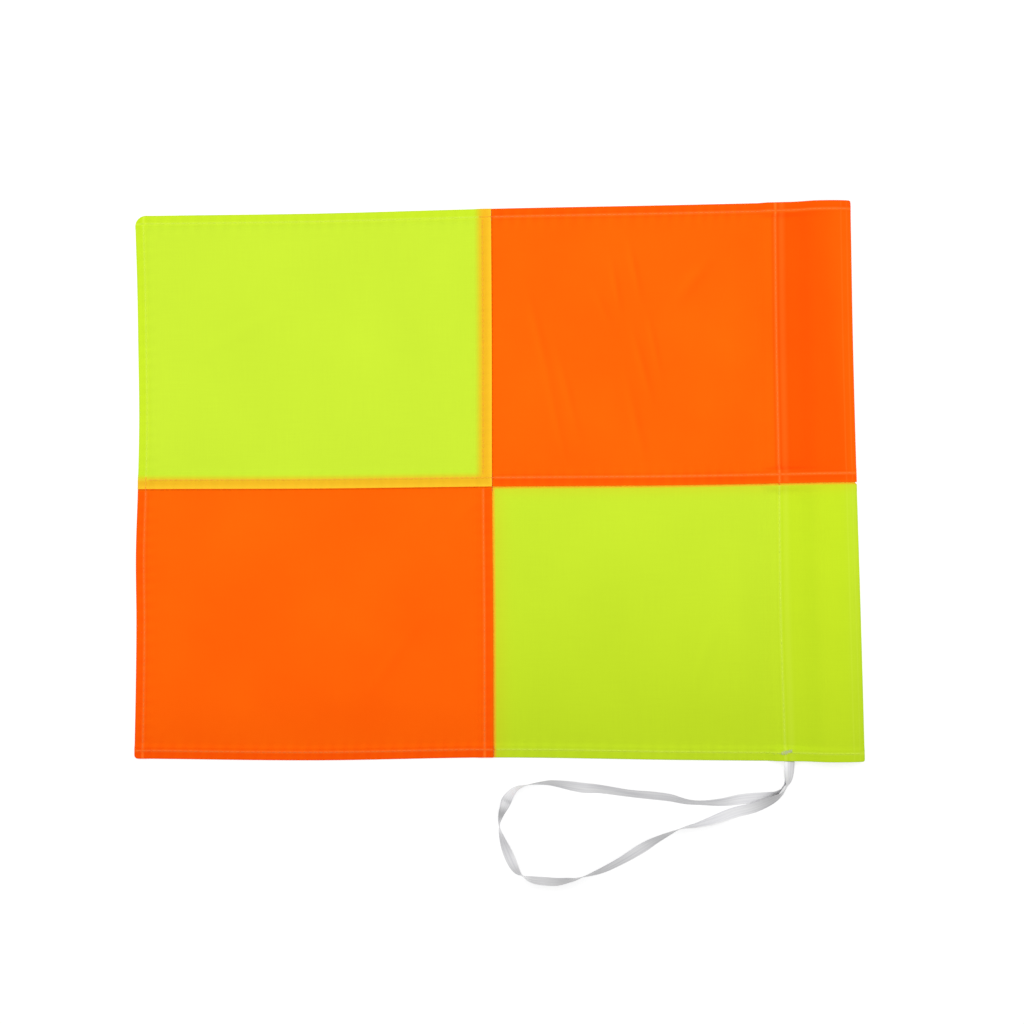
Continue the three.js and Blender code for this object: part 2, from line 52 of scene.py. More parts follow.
def makeCamera(c):
    # as high as the lens needs to span the picture's width on the table, and moved sideways until
    # the flag's origin falls on its pixel
    half = c["imageWidth"] / 2
    scale = c["millimetresPerPixel"] * mm
    data = bpy.data.cameras.new("studio_camera")
    data.lens = c["lens"]
    data.sensor_width = c["sensor"]
    camera = bpy.data.objects.new("studio_camera", data)
    x = (half - c["flagCentrePixel"][0]) * scale
    y = -(half - c["flagCentrePixel"][1]) * scale
    camera.location = (x, y, c["imageWidth"] * scale * c["lens"] / c["sensor"])
    bpy.context.scene.collection.objects.link(camera)
    bpy.context.scene.camera = camera


makeCamera(cameraSettings)
print("camera set")


# shared helpers

def newObject(name, verts, faces, smooth=True):
    # a mesh object made of points in metres and faces of point numbers
    mesh = bpy.data.meshes.new(name)
    mesh.from_pydata(verts, [], faces)
    mesh.polygons.foreach_set("use_smooth", np.full(len(mesh.polygons), smooth))
    mesh.update()
    obj = bpy.data.objects.new(name, mesh)
    bpy.context.scene.collection.objects.link(obj)
    return obj


def addValues(obj, name, values, kind="FLOAT"):
    # an attribute with one number, or one colour, for each point
    attribute = obj.data.attributes.new(name, kind, "POINT")
    key = "color" if kind == "FLOAT_COLOR" else "value"
    attribute.data.foreach_set(key, np.asarray(values, np.float32).ravel())


def addMap(obj, name, places):
    # UV map that holds a place in metres for each point
    layer = obj.data.uv_layers.new(name=name)
    corner = np.zeros(len(obj.data.loops), np.int32)
    obj.data.loops.foreach_get("vertex_index", corner)
    layer.data.foreach_set("uv", np.asarray(places, np.float32)[corner].ravel())


def smoothStep(x):
    # 0 up to x = 0, 1 from x = 1, and three x squared less two x cubed in between
    x = np.clip(x, 0, 1)
    return x * x * (3 - 2 * x)


def bump(x):
    # e to the power of minus x squared: 1 at x = 0, and nearly 0 at x = 2
    return np.exp(-x * x)


def noneAt(s, t):
    # 0 at every place
    return np.zeros(np.broadcast(s, t).shape)


def unit(v):
    # each vector divided by its own length
    return v / np.linalg.norm(v, axis=1, keepdims=True)


def squareTo(way):
    # for each unit way, the level direction square to it, and the one square to both
    level = unit(np.cross(way, (0, 0, 1)))
    return level, np.cross(level, way)


def lengthAlong(points):
    # how long the line through the points is, up to each of them
    return np.concatenate([[0], np.cumsum(np.linalg.norm(np.diff(points, axis=0), axis=1))])


def sheetMesh(name, sides, mask, maps, values):
    # A closed thin sheet. sides holds the face grid and the back grid, (2, n, m, 3). Each cell of the
    # grid where mask is true gets a quad on both sides, and each edge between a true cell and a
    # false one gets a wall, so that the sheet is closed. Maps and values have one entry a point.
    n, m = sides.shape[1:3]
    index = np.arange(n * m).reshape(n, m)
    corners = [index[:-1, :-1], index[1:, :-1], index[1:, 1:], index[:-1, 1:]]
    face = np.stack([c[mask] for c in corners], 1)
    back = face[:, ::-1] + n * m
    padded = np.pad(mask, 1)
    neighbours = [padded[1:-1, :-2], padded[2:, 1:-1], padded[1:-1, 2:], padded[:-2, 1:-1]]
    walls = []
    for k, neighbour in enumerate(neighbours):
        border = mask & ~neighbour
        a, b = corners[k][border], corners[(k + 1) % 4][border]
        walls.append(np.stack([b, a, a + n * m, b + n * m], 1))
    faces = np.concatenate([face, back, *walls])
    used, faces = np.unique(faces, return_inverse=True)
    faces = faces.reshape(-1, 4)
    obj = newObject(name, (sides.reshape(-1, 3)[used] * mm).tolist(), faces.tolist())
    for key, places in maps.items():
        addMap(obj, key, np.tile(places.reshape(-1, 2), (2, 1))[used] * mm)
    for key, value in values.items():
        addValues(obj, key, np.tile(value.ravel(), 2)[used])
    return obj


# ribbon tie, whose own sizes are in metres

ribbonTie = {
    "width": 0.006,
    "thickness": 0.00024,
    "selvedge": 0.0005,  # the woven edge, a little thicker than the rest
    "selvedgeFrom": 0.84,  # where it begins, as a share of half the width, and how fast it thickens
    "selvedgeBlend": 0.1,
    "edgePower": 8,  # how square the section is at its edges, and how flat it ends there
    "edgeFlat": 0.02,
    "cup": 0.00022,
    "cupWaver": 90,  # how fast the cup comes and goes along the ribbon, in radians a metre
    "stepsPerPoint": 8,
    "across": 13,
    # the ribbon's tone is painted sheen and shade: darker where it stands on edge, lighter or darker in
    # patches
    "edgewisePaintedShade": 0.8,  # how light the satin is where it stands on edge
    "sheen": [  # patches of sheen: place along the route in points, reach in points, how much lighter
        (2.4, 0.7, 0.5), (5.8, 1.4, 0.07), (14.5, 2.0, -0.05), (18.0, 0.8, 0.22), (19.4, 0.4, -0.14),
        (20.9, 0.6, -0.28), (22.3, 0.5, 0.25), (24.2, 0.8, 0.05), (26.1, 0.5, 0.25), (29.6, 1.9, -0.19),
        (35.0, 0.9, -0.1), (37.4, 0.9, 0.15), (39.2, 0.9, 0.06), (41.0, 1.2, -0.26), (45.5, 1.2, -0.03),
    ],
    # painted sheen and shade where the ribbon leaves the hem: how much lighter its left edge is and darker
    # its right, and how far that reaches
    "hemSheen": 0.32,
    "hemShade": 0.25,
    "hemReach": 0.0062,
}

# x, y, clearance of the lower edge over the table, all in metres, and the turn from lying flat in
# degrees
ribbonRoute = np.array([
    (0.1688, -0.1629, 0.0012, 8), (0.1686, -0.1684, 0.0006, 20), (0.1677, -0.1729, 0.0002, 40),
    (0.1654, -0.1770, 0.0001, 74), (0.1626, -0.1802, 0.0001, 66), (0.1566, -0.1832, 0.0001, 24),
    (0.1420, -0.1848, 0, 6), (0.1299, -0.1865, 0, 34), (0.1182, -0.1868, 0, 58),
    (0.1093, -0.1862, 0, 55), (0.0992, -0.1839, 0, 38), (0.0885, -0.1826, 0, 34),
    (0.0760, -0.1814, 0, 40), (0.0588, -0.1789, 0, 30), (0.0484, -0.1782, 0, 12),
    (0.0331, -0.1756, 0, 46), (0.0258, -0.1753, 0, 64), (0.0146, -0.1768, 0, 90),
    (0.0090, -0.1796, 0, 122), (0.0052, -0.1844, 0, 158), (0.0032, -0.1888, 0, 205),
    (0.0012, -0.1940, 0, 238), (0.0003, -0.2003, 0, 270), (0.0021, -0.2079, 0, 306),
    (0.0059, -0.2178, 0, 345), (0.0099, -0.2256, 0, 320), (0.0146, -0.2297, 0, 270),
    (0.0200, -0.2317, 0, 236), (0.0270, -0.2325, 0, 225), (0.0338, -0.2328, 0, 230),
    (0.0403, -0.2319, 0, 250), (0.0460, -0.2308, 0, 270), (0.0597, -0.2262, 0, 310),
    (0.0716, -0.2203, 0, 326), (0.0826, -0.2138, 0, 345), (0.0920, -0.2082, 0, 317),
    (0.1054, -0.2020, 0, 276), (0.1153, -0.1998, 0, 248), (0.1240, -0.1973, 0, 220),
    (0.1363, -0.1929, 0, 188), (0.1480, -0.1900, 0.0001, 172), (0.1578, -0.1858, 0.0004, 148),
    (0.1643, -0.1816, 0.0004, 112), (0.1670, -0.1774, 0.0005, 104), (0.1683, -0.1730, 0.0010, 140),
    (0.1687, -0.1684, 0.0015, 160), (0.1689, -0.1629, 0.0021, 172),
])


def splineThrough(points, places):
    # Catmull-Rom curve, read at places from 0 to the last point's number: a cubic between each two
    # points, with a slope at each point of half the step from the one before to the one after
    k = np.clip(np.floor(places).astype(int), 0, len(points) - 2)
    w = (places - k)[:, None]
    last = len(points) - 1
    p0, p1 = points[np.maximum(k - 1, 0)], points[k]
    p2, p3 = points[k + 1], points[np.minimum(k + 2, last)]
    v0, v1 = (p2 - p0) / 2, (p3 - p1) / 2
    return (2 * p1 - 2 * p2 + v0 + v1) * w**3 + (-3 * p1 + 3 * p2 - 2 * v0 - v1) * w**2 + v0 * w + p1


def paintedRibbonSheen(r, turn):
    # painted sheen and shade: the edgewise tone on edge, rising to 1 with the turn's squared cosine, plus a
    # bump for each patch
    place = np.linspace(0, len(ribbonRoute) - 1, len(turn))
    tone = r["edgewisePaintedShade"] + (1 - r["edgewisePaintedShade"]) * np.cos(turn) ** 2
    for at, reach, change in r["sheen"]:
        tone = tone + change * bump((place - at) / reach)
    return tone


def hemPaintedSheen(r, run, across):
    # painted sheen and shade: near both ends of the route the satin is lighter towards its left edge and
    # darker towards its right; 1 plus the share across, scaled by hemSheen or hemShade, times a bump at each
    # end
    near = bump(run / r["hemReach"]) + bump((run[-1] - run) / r["hemReach"])
    change = np.where(across > 0, across * r["hemSheen"], across * r["hemShade"])
    return 1 + near[:, None] * change[None, :]


def ribbonSection(r, run):
    # Places across from -1 to 1, closer at the edges, with the cup and thickness there. The cup is
    # 1 less the square across, times a sine along; the thickness grows by a smooth step to the
    # selvedge, and the section rounds off as the root of 1 less the edge power across.
    across = np.sin(np.linspace(-math.pi / 2, math.pi / 2, r["across"]))
    cup = r["cup"] * (1 - across[None, :] ** 2) * np.sin(run * r["cupWaver"])[:, None]
    edge = smoothStep((abs(across) - r["selvedgeFrom"]) / r["selvedgeBlend"])
    thick = r["thickness"] + (r["selvedge"] - r["thickness"]) * edge
    thick = thick * np.sqrt(np.clip(1 + r["edgeFlat"] - across ** r["edgePower"], 0, 1))
    return across, cup, thick


def makeRibbon(r):
    # A flat strip carried along the route: at each step its width lies level with the route's side
    # direction, turned about the route by the route's angle, and its lower edge clears the table.
    steps = (len(ribbonRoute) - 1) * r["stepsPerPoint"]
    read = splineThrough(ribbonRoute, np.linspace(0, len(ribbonRoute) - 1, steps + 1))
    turn = np.radians(read[:, 3])
    half = r["width"] / 2
    line = read[:, :3].copy()
    line[:, 2] = np.maximum(read[:, 2], 0) + half * abs(np.sin(turn))
    line[:, 2] += r["selvedge"] / 2 * abs(np.cos(turn))
    way = unit(np.gradient(line, axis=0))
    level, stand = squareTo(way)
    wide = level * np.cos(turn)[:, None] + stand * np.sin(turn)[:, None]
    proud = np.cross(wide, way)
    run = lengthAlong(line)
    across, cup, thick = ribbonSection(r, run)
    middle = line[:, None] + wide[:, None] * (across * half)[None, :, None]
    sides = []
    for side in (1, -1):
        out = cup + side * thick[None, :] / 2
        sides.append(middle + proud[:, None] * out[..., None])
    grid = np.stack(sides) / mm
    mask = np.ones((len(line) - 1, len(across) - 1), bool)
    places = np.stack(np.broadcast_arrays(run[:, None], across[None, :] * half), -1) / mm
    # the tone attribute holds the painted sheen and shade
    tone = paintedRibbonSheen(r, turn)[:, None] * hemPaintedSheen(r, run, across)
    obj = sheetMesh("satin_ribbon", grid, mask, {"clothRun": places}, {"tone": tone})
    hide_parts("tie_ribbon")
    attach(obj, "root")
    print("ribbon", round(run[-1] / mm, 1), "mm")
    return obj


ribbon = makeRibbon(ribbonTie)


# how the cloth lies on the table: the flag's lines run straight between their ends, plus a stray

flag = {
    "length": 420.0,
    "height": 320.0,
    "flyWidth": 208.0,  # from the fly edge to the upright seam
    "lowerHeight": 158.5,  # from the bottom edge to the level seam
    "sleeveWidth": 45.5,
    "footSpread": 5.7,  # how much longer it lies along its foot
    "foldLean": 8.4,  # how far each line's upper end lies left of its foot
    "sleeveSeamLean": 6.2,
    "middleSeamLean": 1.0,
    "flyEdgeShift": 0.85,
    "flyEdgeLean": 0.45,
    "topEdgeRise": 8.8,  # how far each line's right end lies above or below its left
    "middleSeamShift": (-0.55, 0.4),
    "middleSeamRise": 4.2,
    "bottomEdgeDrop": 1.6,
    "middleSeamDrop": 2.2,
    "edgeStray": 2.0,
    "lieShift": 1.25,
    "origin": (0.004, -0.145),  # brings the middle of the outline to the origin
    "cornerRounds": {(0, 1): 6.5, (0, 0): 2.2, (1, 1): 1.2, (1, 0): 1.2},
    "cornerOver": 1.1,  # rounding goes on a little past the edge, for cloth that lies beyond it
}
strays = {  # at even steps from foot to top or from left to right, in shares of edgeStray
    "flyEdge": (0, 0.33, 0.5, 0.31, 0.88, 1.22, 0.95, 0.58, 0),
    "uprightSeam": (0, 0.08, -0.1, 0.03, 0),
    "sleeveSeam": (0, -0.55, -0.3, -0.3, 0),
    "fold": (-0.1, -0.18, -0.38, -0.4, -0.1),
    "bottomEdge": (0, -0.3, 0.72, 0.2, 0),
    "levelSeam": (0, -0.34, -0.25, -0.4, 0),
    "topEdge": (0, -0.36, -0.03, -0.09, 0),
}
sleeveLine = flag["length"] - flag["sleeveWidth"]


def strayLine(start, end, name):
    # start plus the share of the way to the end, plus the line's stray there
    points = np.array(strays[name], float)[:, None]

    def read(share):
        share = np.asarray(share, float)
        inside = np.clip(share, 0, 1).ravel() * (len(points) - 1)
        stray = splineThrough(points, inside)[:, 0].reshape(share.shape)
        return start + (end - start) * share + flag["edgeStray"] * stray

    return read


def flagLines(f):
    # the upright lines as (s, x up the flag) and the level ones as (t, y along it)
    spread = (f["length"] + f["footSpread"]) / 2
    seam = f["flyWidth"] - f["length"] / 2 + f["middleSeamShift"][0]
    edge = f["flyEdgeShift"] - spread
    sleeve = sleeveLine - f["length"] / 2 + f["foldLean"] / 4
    lean = f["middleSeamLean"]
    bottom = -f["height"] / 2 - f["lieShift"]
    middle = bottom + f["lowerHeight"] - f["middleSeamDrop"] + f["middleSeamShift"][1]
    top = f["height"] / 2 - f["lieShift"] - f["topEdgeRise"] / 2
    columns = [
        (0, strayLine(edge, edge + f["flyEdgeLean"], "flyEdge")),
        (f["flyWidth"], strayLine(seam - lean / 2, seam - 2 * lean, "uprightSeam")),
        (sleeveLine, strayLine(sleeve, sleeve - f["sleeveSeamLean"], "sleeveSeam")),
        (f["length"], strayLine(spread, spread - f["foldLean"], "fold")),
    ]
    rows = [
        (0, strayLine(bottom, bottom - f["bottomEdgeDrop"], "bottomEdge")),
        (f["lowerHeight"], strayLine(middle, middle + f["middleSeamRise"], "levelSeam")),
        (f["height"], strayLine(top, top + f["topEdgeRise"], "topEdge")),
    ]
    return columns, rows


flagColumns, flagRows = flagLines(flag)


def between(lines, place, share):
    # the two lines beside the place, each read at the share, mixed by how near the place is to each
    at = np.array([line[0] for line in lines], float)
    k = np.clip(np.searchsorted(at, place, side="left") - 1, 0, len(at) - 2)
    part = (place - at[k]) / (at[k + 1] - at[k])
    read = np.stack([line[1](share) for line in lines])
    before = np.take_along_axis(read, k[None], 0)[0]
    after = np.take_along_axis(read, k[None] + 1, 0)[0]
    return before + (after - before) * part


def roundCorners(s, t):
    # Near a corner the square u, v of its two edge distances is drawn in towards a disc:
    # u sqrt(1 - v v / 2) and v sqrt(1 - u u / 2).
    for (right, top), radius in flag["cornerRounds"].items():
        edgeS = s if not right else flag["length"] - s
        edgeT = t if not top else flag["height"] - t
        u = np.clip(1 - edgeS / radius, 0, flag["cornerOver"])
        v = np.clip(1 - edgeT / radius, 0, flag["cornerOver"])
        shiftS = radius * u * (1 - np.sqrt(1 - v * v / 2))
        shiftT = radius * v * (1 - np.sqrt(1 - u * u / 2))
        s = s + (shiftS if not right else -shiftS)
        t = t + (shiftT if not top else -shiftT)
    return s, t


def lay(s, t):
    # from a place on the flat flag, s along it and t up it, to x and y on the table: x is read
    # between the upright lines and y between the level ones
    s, t = np.broadcast_arrays(np.asarray(s, float), np.asarray(t, float))
    s, t = roundCorners(s, t)
    x = between(flagColumns, s, t / flag["height"]) + flag["origin"][0]
    y = between(flagRows, t, s / flag["length"]) + flag["origin"][1]
    return x, y


# how the cloth is not quite flat

relief = {
    "swellHeight": 0.5,
    "swells": [  # waves over the whole cloth: share of the height, length, direction in degrees, start
        (0.34, 118, 28, 0.4), (0.27, 83, -41, 2.1), (0.21, 61, 72, 4.4), (0.18, 47, 8, 1.3),
    ],
    "creaseHeight": 0.2,
    "creases": [  # s, t, half length, half width, lean in degrees from upright, share of the height
        (236.5, 242, 36, 2.6, 14, 1.0), (252.5, 212, 30, 2.4, 14, 0.9), (245, 200, 34, 2.2, 13, 0.7),
        (296, 228, 24, 2.2, 15, 1.1), (303, 240, 22, 1.9, 12, 0.8), (292, 196, 30, 2.6, 12, 1.0),
        (281, 274, 18, 2.0, 10, 0.9), (292, 283, 22, 2.0, 12, 1.0), (273, 262, 14, 2.2, 24, 0.7),
        (326, 276, 20, 4.0, -38, 0.8), (60, 250, 30, 4.5, -62, 0.4), (96, 92, 34, 4.0, 52, 0.5),
        (150, 60, 30, 4.0, -35, 0.4), (262, 96, 40, 4.5, 38, 0.4), (330, 60, 26, 3.6, -20, 0.4),
    ],
    "creaseTaper": 1.4,  # how much sooner a crease ends than its half length
    "puckerHeight": 0.09,
    "puckerReach": 5.5,
    "puckerLength": 7.3,
    "puckerSways": [(1.9, 31, 0.7), (1.3, 17.3, 0.0)],  # size in radians, millimetres a radian, start
    "hemPuckerAt": 5.0,  # how far in from the edge, and from the seam
    "seamPuckerAt": 4.0,
    "seamPucker": 0.8,  # share of the hems' height
    "calmFrom": 26.0,  # the relief dies away before the sleeve, from here and over this run
    "calmRun": 20.0,
    "edgeRun": 34.0,  # run over which swells and creases rise from the flag's edge
    "seamShare": 0.35,  # share of them that is left at a seam, and the run to their full height
    "seamRun": 26.0,
}


def swellAt(s, t):
    # sum of long waves, each a raised cosine, so never below 0
    total = noneAt(s, t)
    for share, length, direction, start in relief["swells"]:
        along = s * math.cos(math.radians(direction)) + t * math.sin(math.radians(direction))
        total += share * (1 + np.cos(2 * math.pi * along / length + start)) / 2
    return total * relief["swellHeight"]


def creaseAt(s, t):
    # long narrow ridges: bump across by bump along
    total = noneAt(s, t)
    for s0, t0, reach, width, lean, share in relief["creases"]:
        c, d = math.cos(math.radians(lean)), math.sin(math.radians(lean))
        across = (s - s0) * c + (t - t0) * d
        along = (t - t0) * c - (s - s0) * d
        total += share * bump(across / width) * bump(along / reach * relief["creaseTaper"])
    return total * relief["creaseHeight"]


def puckerAt(s, t):
    # short ripples square to each sewn line: a raised sine along it, whose start sways, times a bump
    # across it
    hemAt, seamAt, less = relief["hemPuckerAt"], relief["seamPuckerAt"], relief["seamPucker"]
    lines = [
        (s - hemAt, t, 1), (t - hemAt, s, 1), (flag["height"] - hemAt - t, s, 1),
        (s - flag["flyWidth"] + seamAt, t, less), (t - flag["lowerHeight"] - seamAt, s, less),
    ]
    total = noneAt(s, t)
    for away, along, share in lines:
        sway = sum(size * np.sin(along / length + start) for size, length, start in relief["puckerSways"])
        wave = 1 + np.sin(2 * math.pi * along / relief["puckerLength"] + sway)
        total += share * wave * bump(away / relief["puckerReach"])
    return total * relief["puckerHeight"] / 2


def reliefAt(s, t):
    # Height that every layer at this place is raised by: swells and creases, less near edges and
    # seams, plus puckers, and all of it dying away before the sleeve's sewn edge.
    r = relief
    calm = 1 - smoothStep((s - sleeveLine + r["calmFrom"]) / r["calmRun"])
    edge = np.minimum(np.minimum(s, t), flag["height"] - t)
    seams = np.minimum(abs(s - flag["flyWidth"]), abs(t - flag["lowerHeight"]))
    rise = smoothStep(seams / r["seamRun"])
    free = smoothStep(edge / r["edgeRun"]) * (r["seamShare"] + (1 - r["seamShare"]) * rise)
    return calm * (free * (swellAt(s, t) + creaseAt(s, t)) + puckerAt(s, t))


# folded cloth: each panel is a surface of two runs, one along the flag and one up it; the last
# number of each straight, arc and curve below is its count of steps

cloth = {
    "thickness": 0.3,
    "layerGap": 0.1,
    "pieceGap": 0.3,
    "hem": 6.0,
    "hemStitch": 4.8,
    "allowance": 7.0,
    "topstitch": 5.2,
    "rawInset": 0.5,
    "hemLip": 0.3,  # how soon the face comes down before the hem's width is up
    "drop": 3.2,  # run over which the face comes down past a hem or allowance
    "rise": 6.0,  # run over which it climbs to the stack at the sleeve and the seams there
    "nestRun": 1.4,  # run over which the lower panel's fold draws in to nest in the upper panel's
    "nestEarly": 0.4,  # how soon before the seam it lies nested
    "margin": 0.8,  # flat cloth kept past a fold or a stack of layers
    "seamFlat": 3.0,  # flat cloth beside the upright seam
    "edgeTurn": 10.0,  # the sleeve's turned edge, and how far of it lies before the stitching
    "sleeveStitch": 3.5,
    "crown": 7.2,  # height of the sleeve's soft crown, and of its fold's middle
    "nose": 2.1,
    "noseRun": 2.6,
    "crownShare": 0.52,  # where the crown lies between the stitching and the fold
    "climbShare": 0.45,  # how long the curves keep their way at the crown and the fold
    "fallShare": 0.62,
    "bulgeShare": 0.55,
    "faceStep": 1.45,
}
halfThick = cloth["thickness"] / 2
ownPitch = cloth["thickness"] + cloth["layerGap"]
neighbourPitch = cloth["thickness"] + cloth["pieceGap"]
hemRise = 2 * ownPitch
seamRise = neighbourPitch + ownPitch
samePlace = 1e-6  # points of a run closer than this are one point
leastUp = 0.02  # a face whose outward direction rises by less has turned under


def straight(fromAt, toAt, height, steps=0):
    # points of a run, (at, height), level at one height, about a faceStep apart if not counted
    count = steps or max(2, int(abs(toAt - fromAt) / cloth["faceStep"]) + 1)
    at = np.linspace(fromAt, toAt, count + 1)
    return np.stack([at, np.full_like(at, height)], 1)


def foldArc(centreAt, centreHeight, radius, start, end, steps=8):
    # part of a circle, from one angle to another in degrees: the centre plus the radius times the
    # cosine and the sine
    angle = np.radians(np.linspace(start, end, steps + 1))
    return np.stack([centreAt + radius * np.cos(angle), centreHeight + radius * np.sin(angle)], 1)


def ramp(fromAt, toAt, fromHeight, toHeight, steps=8):
    # from one height to another by a smooth step
    at = np.linspace(fromAt, toAt, steps + 1)
    w = smoothStep((at - fromAt) / (toAt - fromAt))
    return np.stack([at, fromHeight + (toHeight - fromHeight) * w], 1)


def joinPieces(*pieces):
    # pieces of a run end to end, each (points, kind), without doubled points; the result holds at,
    # height and kind, which is 0 on the face, 0.5 round the outermost fold and 1 past it; a doubled
    # point keeps the lower kind
    rows = []
    for points, kind in pieces:
        rows.append(np.column_stack([points, np.full(len(points), float(kind))]))
    run = np.concatenate(rows)
    step = np.linalg.norm(np.diff(run[:, :2], axis=0), axis=1)
    doubled = np.concatenate([[False], step < samePlace])
    run[:-1, 2] = np.where(doubled[1:], np.minimum(run[:-1, 2], run[1:, 2]), run[:-1, 2])
    return run[~doubled]


def doubleHem():
    # turned under twice: the raw edge inside, a small fold at the hem's width, back along the table,
    # the large fold at the flag's edge, and the face over both layers
    inner = cloth["hem"] - halfThick - ownPitch / 2
    outer = halfThick + ownPitch
    lip = cloth["hem"] - cloth["hemLip"]
    return [
        (straight(outer + cloth["rawInset"], inner, ownPitch, 4), 1),
        (foldArc(inner, ownPitch / 2, ownPitch / 2, 90, -90, 5), 1),
        (straight(inner, outer, 0, 4), 1),
        (foldArc(outer, ownPitch, ownPitch, -90, -270, 9), 0.5),
        (straight(outer, lip, hemRise, 5), 0),
        (ramp(lip, cloth["hem"] + cloth["drop"], hemRise, 0), 0),
    ]


def turnedAllowance():
    # turned under once, above the neighbour's flat allowance, and the face over all three layers
    edge = halfThick + ownPitch / 2
    return [
        (straight(cloth["allowance"], edge, neighbourPitch, 5), 1),
        (foldArc(edge, neighbourPitch + ownPitch / 2, ownPitch / 2, -90, -270, 7), 0.5),
        (straight(edge, cloth["allowance"], seamRise, 5), 0),
        (ramp(cloth["allowance"], cloth["allowance"] + cloth["drop"], seamRise, 0), 0),
    ]


def fromEdge(edge, pieces):
    # the pieces moved along to start at the edge
    return [(points + (edge, 0), turned) for points, turned in pieces]


def toEdge(edge, pieces):
    # the same pieces mirrored, so the run meets them last
    mirrored = [(points * (-1, 1) + (edge, 0), turned) for points, turned in pieces]
    return [(points[::-1], turned) for points, turned in mirrored[::-1]]


def withFacing(run):
    # The run's columns by name. The cloth's face looks out to the left of the way that the run goes:
    # that way turned by a quarter. Its own run is the length of cloth up to each point.
    way = unit(np.gradient(run[:, :2], axis=0))
    return {
        "at": run[:, 0], "height": run[:, 1], "kind": run[:, 2], "turned": run[:, 2] > 0,
        "outAlong": -way[:, 1], "outUp": way[:, 0],
        "run": lengthAlong(run[:, :2]),
    }


def lowerRun():
    # Up a lower panel: hem, face and flat allowance. Lift is the height of what lies on a layer's
    # back there, which steps up smoothly to the seam's; nest is how far the sleeve's fold draws in.
    # Span is where the layers behind the face are whole.
    c, seam = cloth, flag["lowerHeight"]
    run = withFacing(joinPieces(
        *fromEdge(0, doubleHem()),
        (straight(c["hem"] + c["drop"], seam - c["rise"], 0), 0),
        (straight(seam - c["rise"], seam, 0, 12), 0),
        (straight(seam, seam + c["allowance"], 0, 4), 1),
    ))
    hem = np.where(run["turned"], hemRise, run["height"])
    away = run["at"] - seam
    near = smoothStep((away + c["rise"]) / (c["rise"] - c["margin"])) * seamRise
    nested = smoothStep((away + c["nestRun"]) / (c["nestRun"] - c["nestEarly"])) * seamRise
    run["lift"] = np.where(run["at"] > seam / 2, near, hem)
    run["nest"] = np.where(run["at"] > seam / 2, nested, hem)
    run["span"] = (c["hem"] + c["margin"], seam - c["rise"] / 2)
    return run


def upperRun():
    # up an upper panel: turned allowance, face and hem
    c, seam, top = cloth, flag["lowerHeight"], flag["height"]
    run = withFacing(joinPieces(
        *fromEdge(seam, turnedAllowance()),
        (straight(seam + c["allowance"] + c["drop"], top - c["hem"] - c["drop"], 0), 0),
        *toEdge(top, doubleHem()),
    ))
    folded = np.where(run["at"] > (seam + top) / 2, hemRise, seamRise)
    run["lift"] = run["nest"] = np.where(run["turned"], folded, run["height"])
    run["span"] = (seam + c["allowance"] + c["margin"], top - c["hem"] - c["margin"])
    return run


def flyRun():
    # along a panel at the fly edge: hem, face and turned allowance
    c, edge = cloth, flag["flyWidth"]
    run = withFacing(joinPieces(
        *fromEdge(0, doubleHem()),
        (straight(c["hem"] + c["drop"], edge - c["allowance"] - c["drop"], 0), 0),
        *toEdge(edge, turnedAllowance()),
    ))
    run["carried"] = np.ones_like(run["at"])
    run["front"] = np.zeros_like(run["at"])
    run["flat"] = True
    return run


def bezier(p0, p1, p2, p3, steps):
    # cubic Bezier curve from p0 towards p1, and from p2 to p3
    t = np.linspace(0, 1, steps + 1)[:, None]
    p0, p1, p2, p3 = (np.array(p, float) for p in (p0, p1, p2, p3))
    return p0 * (1 - t) ** 3 + 3 * p1 * t * (1 - t) ** 2 + 3 * p2 * t * t * (1 - t) + p3 * t**3


sleeveWaver = {
    "height": 0.75,
    "waves": [(0.5, 96, 0.6), (0.3, 57, 2.2), (0.2, 31, 4.0)],  # share, length up the flag, start
    "power": 1.3,  # how much it keeps to the crown
    "calm": (3, 2.6),  # it dies away near the sleeve's mouths: where from, and how fast
}


